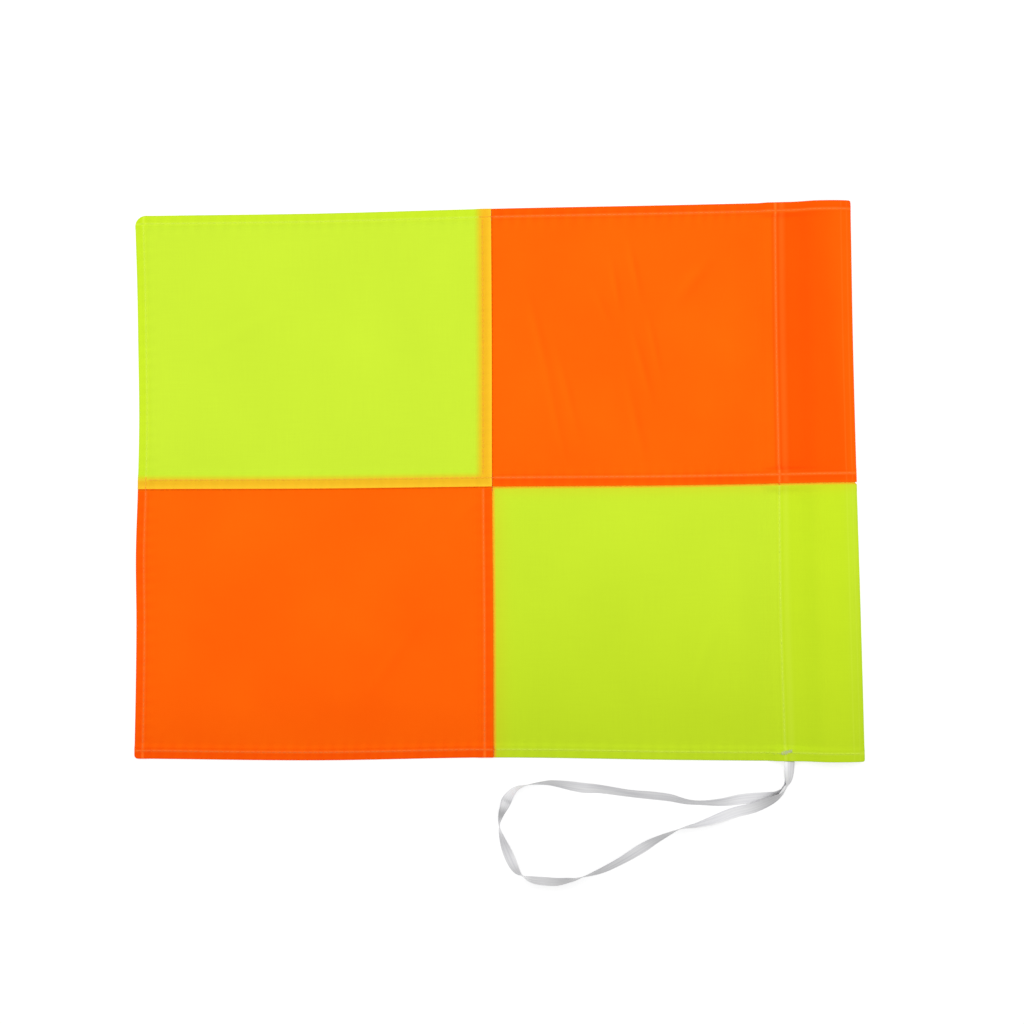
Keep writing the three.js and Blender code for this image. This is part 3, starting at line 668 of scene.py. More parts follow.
def hoistRun():
    # flat allowance, face, the climb to the sewn stack, the sleeve's front wall over its soft crown,
    # the nose of the fold, the back wall on the table and the turned edge that the stitching catches;
    # carried is how many layers' lift each point rides on, and front is where the waver acts: none
    # where the wall is sewn, most at its crown, none at its fold
    c, seam = cloth, flag["flyWidth"]
    sewnFrom = sleeveLine - c["sleeveStitch"] - c["margin"]
    sewnTo = sleeveLine - c["sleeveStitch"] + c["edgeTurn"] + c["margin"]
    fold = flag["length"] - halfThick
    crownAt = sewnTo + (fold - sewnTo) * c["crownShare"]
    climb, fall = (crownAt - sewnTo) * c["climbShare"], (fold - crownAt) * c["fallShare"]
    crown, nose = c["crown"] - halfThick, c["nose"]
    bulge, noseEnd = nose * c["bulgeShare"], fold - c["noseRun"]
    backEdge = sleeveLine - c["sleeveStitch"] + halfThick + ownPitch / 2
    wallStart = [(sewnTo, seamRise), (sewnTo + climb, seamRise), (crownAt - climb, crown), (crownAt, crown)]
    wallEnd = [(crownAt, crown), (crownAt + fall, crown), (fold, nose + bulge), (fold, nose)]
    nosePath = [(fold, nose), (fold, nose - bulge), (fold - c["noseRun"] * c["bulgeShare"], 0), (noseEnd, 0)]
    pieces = [
        (straight(seam - c["allowance"], seam, 0, 4), 1),
        (straight(seam, seam + c["seamFlat"], 0, 6), 0),
        (straight(seam + c["seamFlat"], sewnFrom - c["rise"], 0), 0),
        (ramp(sewnFrom - c["rise"], sewnFrom, 0, seamRise), 0),
        (straight(sewnFrom, sewnTo, seamRise, 9), 0),
        (bezier(*wallStart, 14), 0),
        (bezier(*wallEnd, 18), 0),
        (bezier(*nosePath, 9), 0),
        (straight(noseEnd, backEdge, 0, 16), 0),
        (foldArc(backEdge, ownPitch / 2, ownPitch / 2, -90, -270, 6), 0),
        (straight(backEdge, backEdge + c["edgeTurn"], ownPitch, 5), 0),
    ]
    run = withFacing(joinPieces(*pieces))
    ends = np.cumsum([0, *[len(points) - 1 for points, turned in pieces]])
    number = np.arange(len(run["at"]))
    run["carried"] = np.interp(number, ends[3:11], [1, 3, 3, 1, 0.5, 0, 0, 2])
    run["front"] = np.interp(number, ends[5:8], [0, 1, 0]) ** sleeveWaver["power"]
    run["flat"] = False
    return run


def frontWaver(front, t):
    # a sum of cosines up the flag, less a third, times front and a smooth step down at both mouths
    total = 0
    for share, length, start in sleeveWaver["waves"]:
        total = total + share * np.cos(2 * math.pi * t / length + start)
    height = total * sleeveWaver["height"] - sleeveWaver["height"] / 3
    calmFrom, calmRate = sleeveWaver["calm"]
    return front * height * smoothStep(calmFrom - abs(2 * t / flag["height"] - 1) * calmRate)


def clothSurface(along, up, out):
    # The point that is out from the middle of the cloth towards its face. A hem or seam up the flag
    # thickens the cloth outwards from the run along it, by its height less the lift that it rides on,
    # and the layers that it lifts ride higher by the lift times carried.
    a = {k: v[:, None] if isinstance(v, np.ndarray) else v for k, v in along.items()}
    u = {k: v[None, :] if isinstance(v, np.ndarray) else v for k, v in up.items()}
    lift = u["height"] if a["flat"] else u["lift"]
    nest = u["height"] if a["flat"] else u["nest"]
    beyond = u["height"] - lift + u["outUp"] * out
    s = a["at"] + a["outAlong"] * (beyond + lift - nest)
    t = u["at"] + u["outAlong"] * out
    z = halfThick + a["height"] + a["outUp"] * beyond + a["carried"] * lift
    z = z + reliefAt(s, t) + frontWaver(a["front"], t)
    x, y = lay(s, t)
    return np.stack([x, y, z], -1)


# how the relief's slopes are painted as light and shade on the cloth
shading = {
    "step": 0.2,  # over which a slope is measured
    "strength": 8.0,
    "fromLeft": 0.8,
    "fromTop": 0.6,
}


def shadeAt(s, t):
    # painted shade from the relief: 0.5 on flat cloth, up to 1 where it leans to the upper left and down to
    # 0 to the lower right; the relief's slope along less its slope up, by their shares, times the strength
    step = shading["step"]
    alongSlope = (reliefAt(s + step, t) - reliefAt(s - step, t)) / (2 * step)
    upSlope = (reliefAt(s, t + step) - reliefAt(s, t - step)) / (2 * step)
    lean = shading["fromLeft"] * alongSlope - shading["fromTop"] * upSlope
    return np.clip(0.5 + shading["strength"] * lean, 0, 1)


# colour that the layers give the cloth: more of them make it deeper, and the orange allowances show through
# the yellow-green panels as an amber band; the dark line in a seam's groove is painted shade; a reach is in
# millimetres, as is a fade

layering = {
    "sewnDepth": 0.45,  # from an edge or seam to its stitching, and on to the turned cloth's inner fold
    "turnedDepth": 0.25,
    "hemEarly": 0.3,
    "hemFade": 0.8,
    "hemFoldFade": 1.6,
    "seamEarly": 0.4,
    "seamFade": 0.9,
    "seamFoldEarly": 1.0,
    "seamFoldFade": 3.0,
    "sleeveEarly": 2.6,  # the sleeve's two walls
    "sleeveFade": 2.0,
    "sleeveLeast": 0.12,
    "sleeveMore": 0.78,
    "foldStrip": 10.0,  # lighter strip along its fold, and how much wider it gets up the upper panel
    "foldStripMore": 14.0,
    "foldStripRise": 160.0,
    "footLeast": 0.35,  # the whole lower panel beside the post, and how much more towards its foot
    "footMore": 0.45,
}
amberBand = {
    "uprightReach": 4.4,
    "uprightFade": 6.2,
    "levelReach": 3.6,
    "levelFade": 5.4,
    "uprightLine": 0.9,  # thin line on the lower panel
    "levelLine": 0.6,
    "uprightWash": (0.16, 7.0),  # faint wash beside it: strength and reach
    "levelWash": (0.2, 5.0),
    "singleStrip": 1.9,
}
# the painted shade in the groove beside a seam's folded edge
ditchShade = {
    "reach": 0.8,
    "ownReach": 0.5,
    "own": 0.75,  # how dark the fainter line is
    "fade": 0.9,  # of every thin line
}


def within(away, limit, early, fade):
    # 1 up to early before the limit, then 0 after a smooth step as long as the fade
    return 1 - smoothStep((away - limit + early) / fade)


def beside(away, reach):
    # 1 within reach on both sides of a line, then fading out
    return within(abs(away), reach, 0, ditchShade["fade"])


def depthAt(s, t):
    # sewnDepth from the edge to the stitching plus turnedDepth from it to the inner fold, summed over
    # the hems and the turned allowances
    c, d = cloth, layering
    depth = 0
    for edge in (s, t, flag["height"] - t):
        depth = depth + d["sewnDepth"] * within(edge, c["hemStitch"], d["hemEarly"], d["hemFade"])
        depth = depth + d["turnedDepth"] * within(edge, c["hem"], 0, d["hemFoldFade"])
    for seam in (flag["flyWidth"] - s, t - flag["lowerHeight"]):
        sewn = within(seam, c["topstitch"], d["seamEarly"], d["seamFade"])
        turned = within(seam, c["allowance"], d["seamFoldEarly"], d["seamFoldFade"])
        depth = depth + (seam > 0) * d["sewnDepth"] * sewn
        depth = depth + (seam > 0) * d["turnedDepth"] * turned
    return np.clip(depth, 0, 1)


def sleeveDepthAt(s, t):
    # two walls: a smooth step up at the stitching, and one down over the strip along the fold
    d = layering
    strip = d["foldStrip"] + d["foldStripMore"] * smoothStep((t - flag["lowerHeight"]) / d["foldStripRise"])
    near = smoothStep((flag["length"] - s) / strip)
    sewn = smoothStep((s - sleeveLine + d["sleeveEarly"]) / d["sleeveFade"])
    return sewn * (d["sleeveLeast"] + d["sleeveMore"] * near)


def footDepthAt(t):
    # the lower panel beside the post: its least, and more by a smooth step towards its foot
    towardsFoot = smoothStep(1 - t / flag["lowerHeight"])
    return layering["footLeast"] + layering["footMore"] * towardsFoot


def fromSeams(s, t):
    # how far a place is from the upright seam towards the fly edge, and how far above the level one
    return flag["flyWidth"] - s, t - flag["lowerHeight"]


def amberAt(s, t, panel):
    # the upper panel's two bands, joined as one minus the product of what each leaves; on the lower
    # panel a thin line at each seam, plus a wash that is a bump beside it
    seamS, seamT = fromSeams(s, t)
    b = amberBand
    if panel == "fly_upper_panel":
        upright = within(seamS, b["uprightReach"], 0, b["uprightFade"])
        level = within(seamT, b["levelReach"], 0, b["levelFade"])
        return 1 - (1 - upright) * (1 - level)
    if panel == "hoist_lower_panel":
        thin = np.maximum(beside(seamS, b["uprightLine"]), beside(seamT, b["levelLine"]))
        uprightShare, uprightReach = b["uprightWash"]
        levelShare, levelReach = b["levelWash"]
        upright, level = bump(seamS / uprightReach), bump(seamT / levelReach)
        return np.clip(thin + np.maximum(upright * uprightShare, level * levelShare), 0, 1)
    return noneAt(s, t)


def lightAt(s, t, panel):
    # the single strip beside the fold, where the light comes through more: a bump at each seam
    seamS, seamT = fromSeams(s, t)
    if panel in ("fly_upper_panel", "hoist_lower_panel"):
        reach = amberBand["singleStrip"]
        return np.maximum(bump(seamS / reach), bump(seamT / reach))
    return noneAt(s, t)


def ditchShadeAt(s, t, panel):
    # painted shade: the dark line where an orange panel goes under its neighbour's folded edge, and a
    # fainter one along its own edge at the other seam
    seamS, seamT = fromSeams(s, t)
    if panel == "hoist_upper_panel":
        under, own = seamS, seamT
    elif panel == "fly_lower_panel":
        under, own = seamT, seamS
    else:
        return noneAt(s, t)
    return np.maximum(beside(under, ditchShade["reach"]), ditchShade["own"] * beside(own, ditchShade["ownReach"]))


def makePanel(node, along, up):
    # the panel's surface on both sides of its cloth; a cell is kept on the face, round the outermost
    # folds, and behind the face where the layers there are whole
    alongKind = np.maximum(along["kind"][:-1], along["kind"][1:])[:, None]
    upKind = np.maximum(up["kind"][:-1], up["kind"][1:])[None, :]
    inSpan = (up["at"][:-1] >= up["span"][0]) & (up["at"][1:] <= up["span"][1])
    mask = (alongKind == 0) | ((alongKind < 1) & (upKind < 1)) | ((upKind == 0) & inSpan[None, :])
    sides = np.stack([clothSurface(along, up, halfThick), clothSurface(along, up, -halfThick)])
    run = np.stack(np.broadcast_arrays(along["run"][:, None], up["run"][None, :]), -1)
    s, t = along["at"][:, None], up["at"][None, :]
    depth = np.maximum(depthAt(s, t), sleeveDepthAt(s, t))
    if node == "hoist_lower_panel":
        depth = np.maximum(depth, footDepthAt(t))
    maps = {"clothRun": run, "flagPlace": np.stack(np.broadcast_arrays(s, t), -1)}
    obj = sheetMesh(node.replace("panel", "cloth"), sides, mask, maps, {
        "depth": depth, "amber": amberAt(s, t, node), "light": lightAt(s, t, node),
        "ditchShade": ditchShadeAt(s, t, node), "shade": shadeAt(s, t),
    })
    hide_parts(node)
    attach(obj, "root")
    return obj


flyAlong, hoistAlong = flyRun(), hoistRun()
lowerUp, upperUp = lowerRun(), upperRun()
panels = {
    "fly_upper_panel": makePanel("fly_upper_panel", flyAlong, upperUp),
    "fly_lower_panel": makePanel("fly_lower_panel", flyAlong, lowerUp),
    "hoist_upper_panel": makePanel("hoist_upper_panel", hoistAlong, upperUp),
    "hoist_lower_panel": makePanel("hoist_lower_panel", hoistAlong, lowerUp),
}


# stitching: each stitch is a small bowed strand with rounded ends

stitches = {
    "pitch": 3.0,
    "length": 2.55,
    "radius": 0.26,
    "sides": 5,
    "bow": 0.08,
    "shares": (0.0, 0.07, 0.28, 0.5, 0.72, 0.93, 1.0),  # where a strand's rings lie along it
    "bluntness": 6,  # how long it keeps its thickness towards its ends, and what is left at them
    "endShare": 0.03,
    "seat": 0.35,  # height of its middle over the cloth, as a share of its radius
    "ditchRadius": 0.13,  # the seams' own threads: finer, and sunk into the cloth
    "ditchSink": 0.05,
    "ditchAway": 0.55,  # from the folded edge
}


def readRun(run, key, at):
    # a run's values on its face, read in proportion between its points
    first = np.argmax(~run["turned"])
    count = np.argmax(run["turned"][first:] | (run["outUp"][first:] <= leastUp)) or len(run["at"]) - first
    part = slice(first, first + count)
    return np.interp(at, run["at"][part], run[key][part])


def onFace(s, t, out):
    # the point that is out above the cloth's face: the two runs' heights, the lift carried, the
    # relief and the waver, as in clothSurface
    s, t = np.broadcast_arrays(np.asarray(s, float), np.asarray(t, float))
    fly, lower = s <= flag["flyWidth"], t < flag["lowerHeight"]
    lift = np.where(lower, readRun(lowerUp, "lift", t), readRun(upperUp, "lift", t))
    height = np.where(lower, readRun(lowerUp, "height", t), readRun(upperUp, "height", t))
    lift = np.where(fly, height, lift)
    along = np.where(fly, readRun(flyAlong, "height", s), readRun(hoistAlong, "height", s))
    carried = np.where(fly, 1, readRun(hoistAlong, "carried", s))
    front = np.where(fly, 0, readRun(hoistAlong, "front", s))
    z = 2 * halfThick + along + height - lift + carried * lift + reliefAt(s, t) + out
    z = z + frontWaver(front, t)
    x, y = lay(s, t)
    return np.stack([x, y, z], -1)


def strandMesh(name, starts, ends, radius, bow, tint=None):
    # Strands from starts to ends, all at once. A ring at share w of a strand's length has the radius
    # times the root of 1 less 2w - 1 to the power of bluntness, and rises by bow times 1 less 2w - 1
    # squared.
    shares = np.array(stitches["shares"])
    swell = np.sqrt(np.clip(1 - (2 * shares - 1) ** stitches["bluntness"], stitches["endShare"], 1))
    rise = 1 - (2 * shares - 1) ** 2
    level, stand = squareTo(unit(ends - starts))
    sides = stitches["sides"]
    angle = 2 * math.pi * np.arange(sides) / sides + math.pi / 2
    line = starts[:, None] + (ends - starts)[:, None] * shares[None, :, None]
    line = line + stand[:, None] * (bow * rise)[None, :, None]
    ring = level[:, None] * np.cos(angle)[None, :, None] + stand[:, None] * np.sin(angle)[None, :, None]
    verts = line[:, :, None] + ring[:, None] * (radius * swell)[None, :, None, None]
    count, rings = len(starts), len(shares)
    index = np.arange(count * rings * sides).reshape(count, rings, sides)
    turned = np.roll(index, -1, axis=2)
    body = np.stack([index[:, :-1], index[:, 1:], turned[:, 1:], turned[:, :-1]], -1).reshape(-1, 4)
    caps = [index[:, 0], index[:, -1, ::-1]]
    faces = body.tolist() + np.concatenate(caps).tolist()
    obj = newObject(name, (verts.reshape(-1, 3) * mm).tolist(), faces)
    if tint is not None:
        addValues(obj, "tint", np.repeat(tint, rings * sides, axis=0), "FLOAT_COLOR")
    return obj


# linear colours of one layer, of several, of cloth pulled tight by stitches, of the amber band, and of the
# painted shade in a seam's groove
clothColours = {
    "yellow_green": {
        "single": (0.61, 0.845, 0.037), "deep": (0.60, 0.825, 0.018), "stitched": (0.68, 0.88, 0.055),
    },
    "orange": {
        "single": (0.98, 0.137, 0.0028), "deep": (0.97, 0.100, 0.0018), "stitched": (1.0, 0.19, 0.018),
    },
    "amber": (0.91, 0.497, 0.019),
    "amberLight": (1.0, 0.60, 0.027),
    # the dark orange of the painted shade in a seam's groove
    "ditchShade": (0.84, 0.148, 0.0015),
}
threadTints = {  # the fine thread takes on much of what it lies on
    "yellow_green": (0.73, 0.92, 0.07),
    "orange": (1.0, 0.225, 0.032),
    "amber": (0.96, 0.505, 0.035),
}
amberReach = 6.5  # how far from a seam the thread on the upper panel is amber
# the red glow that a dye is given, painted light standing for its fluorescence; how far the colour wanders
# over the cloth;
# how strong the painted shade of its creases and stitch dips is; and how much of that the red takes part in
dyesAndPaintedLight = {
    "yellow_green": {"glow": 0.0, "mottle": 0.07, "shading": 0.07, "redShare": 1.0},
    "orange": {"glow": 0.13, "mottle": 0.3, "shading": 0.22, "redShare": 0.2},
}


def threadTint(s, t, inDitch):
    # the tint of the panel that each stitch lies on; a thread in the seam's groove takes the painted shade's
    # dark orange on an orange panel, and the lighter amber on a yellow-green one
    green = (s <= flag["flyWidth"]) == (t >= flag["lowerHeight"])
    seamS, seamT = fromSeams(s, t)
    band = (seamS > 0) & (seamT > 0) & ((seamS < amberReach) | (seamT < amberReach))
    colour = np.where(green[:, None], threadTints["yellow_green"], threadTints["orange"])
    colour = np.where(band[:, None], threadTints["amber"], colour)
    if inDitch:
        colour = np.where(green[:, None], clothColours["amberLight"], clothColours["ditchShade"])
    return np.column_stack([colour, np.ones(len(colour))])


def stitchRow(node, fromPlace, toPlace, inDitch=False):
    # stitches at an even pitch along the straight line between two places on the flag
    (s0, t0), (s1, t1) = fromPlace, toPlace
    length = math.hypot(s1 - s0, t1 - t0)
    count = int(length / stitches["pitch"])
    step = 1 / count
    reach = stitches["length"] / stitches["pitch"] * step
    starts = (np.arange(count) + 0.5) * step - reach / 2
    radius = stitches["ditchRadius"] if inDitch else stitches["radius"]
    seat = radius * stitches["seat"] - (stitches["ditchSink"] if inDitch else 0.0)
    first = onFace(s0 + (s1 - s0) * starts, t0 + (t1 - t0) * starts, seat)
    ends = starts + reach
    last = onFace(s0 + (s1 - s0) * ends, t0 + (t1 - t0) * ends, seat)
    middle = starts + reach / 2
    tint = threadTint(s0 + (s1 - s0) * middle, t0 + (t1 - t0) * middle, inDitch)
    name = node.replace("stitching", "stitches").replace("thread", "stitches")
    obj = strandMesh(name, first, last, radius, stitches["bow"], tint)
    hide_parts(node)
    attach(obj, "root")
    return obj


rowEnds = {  # how far a row stops short of what it runs up to
    "fold": 3.0,  # the sleeve's fold
    "corner": 2.6,  # the rounded corner
    "edge": 0.9,  # the fly edge, along the bottom hem and along the level seam
    "seamEdge": 0.8,
    "hem": 6.0,  # the edge beyond a hem
    "overSeam": 7.0,  # the level seam, from above, from below, and in the ditch
    "underSeam": 0.8,
    "ditchUnder": 1.4,
    "tack": 9.4,  # the bottom edge, above the bar tack
    "topHem": 0.8,  # the top hem's stitching
}


def rowPlaces(f, c, e):
    # from and to, as (s, t), for each row of stitches
    top, seam, fly = f["height"], f["lowerHeight"], f["flyWidth"]
    hemLine, topHemLine, foldEnd = c["hemStitch"], top - c["hemStitch"], f["length"] - e["fold"]
    upright, level = fly - c["topstitch"], seam + c["topstitch"]
    over, under, ditchUnder = seam + e["overSeam"], seam - e["underSeam"], seam - e["ditchUnder"]
    beyond, below = fly + stitches["ditchAway"], seam - stitches["ditchAway"]
    foot, head = e["hem"], top - e["hem"]
    return {
        "top_hem_stitching": ((e["corner"], topHemLine), (foldEnd, topHemLine)),
        "bottom_hem_stitching": ((e["edge"], hemLine), (foldEnd, hemLine)),
        "fly_hem_stitching": ((hemLine, foot), (hemLine, head)),
        "upper_vertical_topstitching": ((upright, over), (upright, head)),
        "lower_vertical_topstitching": ((upright, foot), (upright, under)),
        "horizontal_topstitching": ((foot, level), (foldEnd, level)),
        "sleeve_stitching": ((sleeveLine, e["tack"]), (sleeveLine, topHemLine - e["topHem"])),
        "upper_vertical_seam_thread": ((beyond, over), (beyond, head)),
        "lower_vertical_seam_thread": ((beyond, foot), (beyond, ditchUnder)),
        "horizontal_seam_thread": ((e["seamEdge"], below), (foldEnd, below)),
    }


rows = []
for node, (fromPlace, toPlace) in rowPlaces(flag, cloth, rowEnds).items():
    rows.append(stitchRow(node, fromPlace, toPlace, inDitch="seam_thread" in node))
print("stitch rows", len(rows))


# bar tack: a close zigzag over a few laid strands

barTack = {
    "centre": (sleeveLine + 0.7, 5.2),
    "length": 6.2,
    "width": 2.1,
    "slant": 14,  # degrees that the tack lies off the hem
    "strands": 37,
    "radius": 0.14,
    "bow": 0.12,
    "seat": 0.2,
    "narrowing": 1.3,  # how much narrower the zigzag is at its ends
    "looseness": 0.3,  # how far its turns stray across and along, and how fast that changes
    "looseTurns": (2.4, 4.1),
    "alongStray": 0.25,
    "alongTurn": 3.3,
    "rise": 0.12,
    "riseTurn": 1.9,
    "laidAt": 0.22,  # where the laid strands lie, as a share of the width
    "tail": 4.6,  # loose thread ends to the left
    "tailAcross": (-0.7, 0.1),
    "tailInset": 0.6,
    "tailShares": (1.0, 0.55),
    "tailRise": (1.4, 0.5),
    "tint": (0.63, 0.70, 0.37, 1),
    "tailTint": (0.56, 0.74, 0.11, 1),
}


def makeTack(b):
    # A zigzag along a line through the centre: its turns lie at plus and minus half the width, less
    # narrowing times the square of their share of the length, and stray by sines. Two laid strands
    # lie below it, and two loose ends to its left.
    s0, t0 = b["centre"]
    turn = math.radians(b["slant"])
    number = np.arange(b["strands"] + 1)
    share = number / b["strands"] - 0.5
    slow, fast = b["looseTurns"]
    stray = b["looseness"] * (np.sin(number * slow) + np.sin(number * fast + 1))
    narrow = 1 - b["narrowing"] * share**2
    across = np.where(number % 2, 0.5, -0.5) * b["width"] * narrow + stray
    along = share * b["length"] + b["alongStray"] * np.sin(number * b["alongTurn"])

    def place(along, across, out):
        # along and across the tack, turned by its slant to s and t
        s = s0 + along * math.cos(turn) - across * math.sin(turn)
        t = t0 + along * math.sin(turn) + across * math.cos(turn)
        return onFace(s, t, out)

    zigzag = place(along, across, b["seat"])
    level = zigzag[:, 2].mean()
    zigzag[:, 2] = level + b["rise"] * np.sin(number * b["riseTurn"])
    laid = np.array([-b["laidAt"], b["laidAt"]]) * b["width"]
    ends = np.array([-0.5, 0.5]) * b["length"]
    left, right = place(ends[0] + 0 * laid, laid, 0), place(ends[1] + 0 * laid, laid, 0)
    left[:, 2] = right[:, 2] = level - b["radius"]
    tails = np.array(b["tailAcross"])
    tailEnds = ends[0] - b["tail"] * np.array(b["tailShares"])
    tailFrom = place(ends[0] + b["tailInset"] + 0 * tails, tails, b["seat"])
    tailTo = place(tailEnds, tails + np.array(b["tailRise"]), b["radius"])
    starts = np.concatenate([zigzag[:-1], left, tailFrom])
    finishes = np.concatenate([zigzag[1:], right, tailTo])
    tint = np.array([b["tint"]] * (len(starts) - 2) + [b["tailTint"]] * 2)
    obj = strandMesh("bar_tack", starts, finishes, b["radius"], b["bow"], tint)
    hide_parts("tie_bar_tack")
    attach(obj, "root")
    return obj


tack = makeTack(barTack)
print("bar tack set")


# materials; the scales of noises are per metre

def newMaterial(name):
    # the material, its node tree and its shader
    material = bpy.data.materials.new(name)
    material.use_nodes = True
    tree = material.node_tree
    return material, tree, tree.nodes["Principled BSDF"]


def addNode(tree, kind, settings=None, **sockets):
    # a node whose sockets are named, or numbered as i0, i1 and so on; each gets a number or a link
    node = tree.nodes.new(kind)
    for key, value in (settings or {}).items():
        setattr(node, key, value)
    for key, value in sockets.items():
        numbered = key[0] == "i" and key[1:].isdigit()
        socket = node.inputs[int(key[1:]) if numbered else key]
        if isinstance(value, bpy.types.NodeSocket):
            tree.links.new(value, socket)
        else:
            socket.default_value = value
    return node


def mathNode(tree, operation, a, b=0.5, c=0.5):
    # what the operation makes of up to three numbers
    return addNode(tree, "ShaderNodeMath", {"operation": operation}, i0=a, i1=b, i2=c).outputs[0]


def mixColour(tree, share, a, b, blend="MIX"):
    # a at share 0 and b at share 1
    settings = {"data_type": "RGBA", "blend_type": blend}
    return addNode(tree, "ShaderNodeMix", settings, i0=share, i6=a, i7=b).outputs[2]


def toned(tree, colour, red, green, blue):
    # the colour times a tone for each of its channels
    tones = addNode(tree, "ShaderNodeCombineColor", i0=red, i1=green, i2=blue).outputs[0]
    return mixColour(tree, 1.0, colour, tones, "MULTIPLY")


def addBump(tree, shader, height, strength, distance):
    # fine relief that only the shading shows: the height times the distance, mixed in by the strength
    relieved = addNode(tree, "ShaderNodeBump", Height=height, Strength=strength, Distance=distance * mm)
    tree.links.new(relieved.outputs[0], shader.inputs["Normal"])


def setShader(shader, values):
    # numbers and colours that are the same all over, on the shader's own sockets
    for key, value in values.items():
        shader.inputs[key].default_value = value


def rgba(colour):
    # the colour with full cover
    return (*colour, 1.0)


weave = {
    "threadPitch": 0.42,  # warp and weft spacing
    "bump": 0.045,
    "bumpStrength": 0.5,
    "crossing": 0.5,  # height of the threads' crossings, and of the threads themselves
    "threads": 0.3,
    "crossingShade": 0.02,
    "slub": 0.05,  # how much a thread's shade strays
    "slubScales": ((2600, 45, 1), (45, 2600, 1)),
    "mottleScale": 16.0,
    # the dips beside a row of stitches are darkened as painted shade
    "dipOffset": 0.3,  # the dips beside a row of stitches: how far past its reach, how wide, their shade
    "dipReach": 0.7,
    "dipShade": -0.3,
    "roughness": 0.78,
    "specular": 0.05,
    "sheen": 0.04,
}
stitchLines = [  # which way the place is read, where the line runs, its reach and its strength
    (0, cloth["hemStitch"], 1.3, 0.8), (1, cloth["hemStitch"], 1.3, 0.8),
    (1, flag["height"] - cloth["hemStitch"], 1.3, 0.8),
    (0, flag["flyWidth"] - cloth["topstitch"], 1.3, 0.9),
    (1, flag["lowerHeight"] + cloth["topstitch"], 1.3, 0.9), (0, sleeveLine, 1.4, 1.0),
    # the sleeve's turned edge, and two faint creases near its fold, drawn as lighter lines of painted light
    (0, sleeveLine + 3.8, 3.0, 0.35), (0, flag["length"] - 2.9, 0.7, 0.3),
    (0, flag["length"] - 6.5, 0.7, 0.3),
]


def readValue(tree, name):
    # one of the numbers that addValues gave each point
    return addNode(tree, "ShaderNodeAttribute", {"attribute_name": name}).outputs["Fac"]


def splitMap(tree, name):
    # a UV map, whole and as its two numbers
    uv = addNode(tree, "ShaderNodeUVMap", {"uv_map": name}).outputs[0]
    return uv, addNode(tree, "ShaderNodeSeparateXYZ", i0=uv).outputs


def nearLine(tree, away, at, reach):
    # 1 where away is at, falling by a smooth step to 0 at reach from it
    gap = mathNode(tree, "ABSOLUTE", mathNode(tree, "SUBTRACT", away, at))
    settings = {"interpolation_type": "SMOOTHSTEP"}
    near = addNode(tree, "ShaderNodeMapRange", settings, i0=gap, i1=0.0, i2=reach, i3=1.0, i4=0.0)
    return near.outputs[0]


def stitchShades(tree):
    # how near a place is to a line of stitches, and to the shallow dips on both sides of it, which get
    # painted shade: the largest, over all lines, of nearLine times the line's strength
    uv, along = splitMap(tree, "flagPlace")
    dipReach = weave["dipReach"] * mm
    ridge = dips = None
    for axis, at, reach, strength in stitchLines:
        away = mathNode(tree, "ABSOLUTE", mathNode(tree, "SUBTRACT", along[axis], at * mm))
        near = mathNode(tree, "MULTIPLY", nearLine(tree, away, 0.0, reach * mm), strength)
        beyond = nearLine(tree, away, (reach + weave["dipOffset"]) * mm, dipReach)
        dip = mathNode(tree, "MULTIPLY", beyond, strength)
        ridge = near if ridge is None else mathNode(tree, "MAXIMUM", ridge, near)
        dips = dip if dips is None else mathNode(tree, "MAXIMUM", dips, dip)
    return ridge, dips


def drawnNoises(tree, uv, scales):
    # a noise for each scale, drawn out along the way of the smaller number
    noises = []
    for scale in scales:
        mapped = addNode(tree, "ShaderNodeMapping", i0=uv, Scale=scale).outputs[0]
        noises.append(addNode(tree, "ShaderNodeTexNoise", Vector=mapped, Scale=1.0, Detail=2.0).outputs[0])
    return noises


def slubAt(tree, uv):
    # noise drawn out along the warp plus noise drawn out along the weft, less 1
    both = mathNode(tree, "ADD", *drawnNoises(tree, uv, weave["slubScales"]))
    return mathNode(tree, "SUBTRACT", both, 1.0)


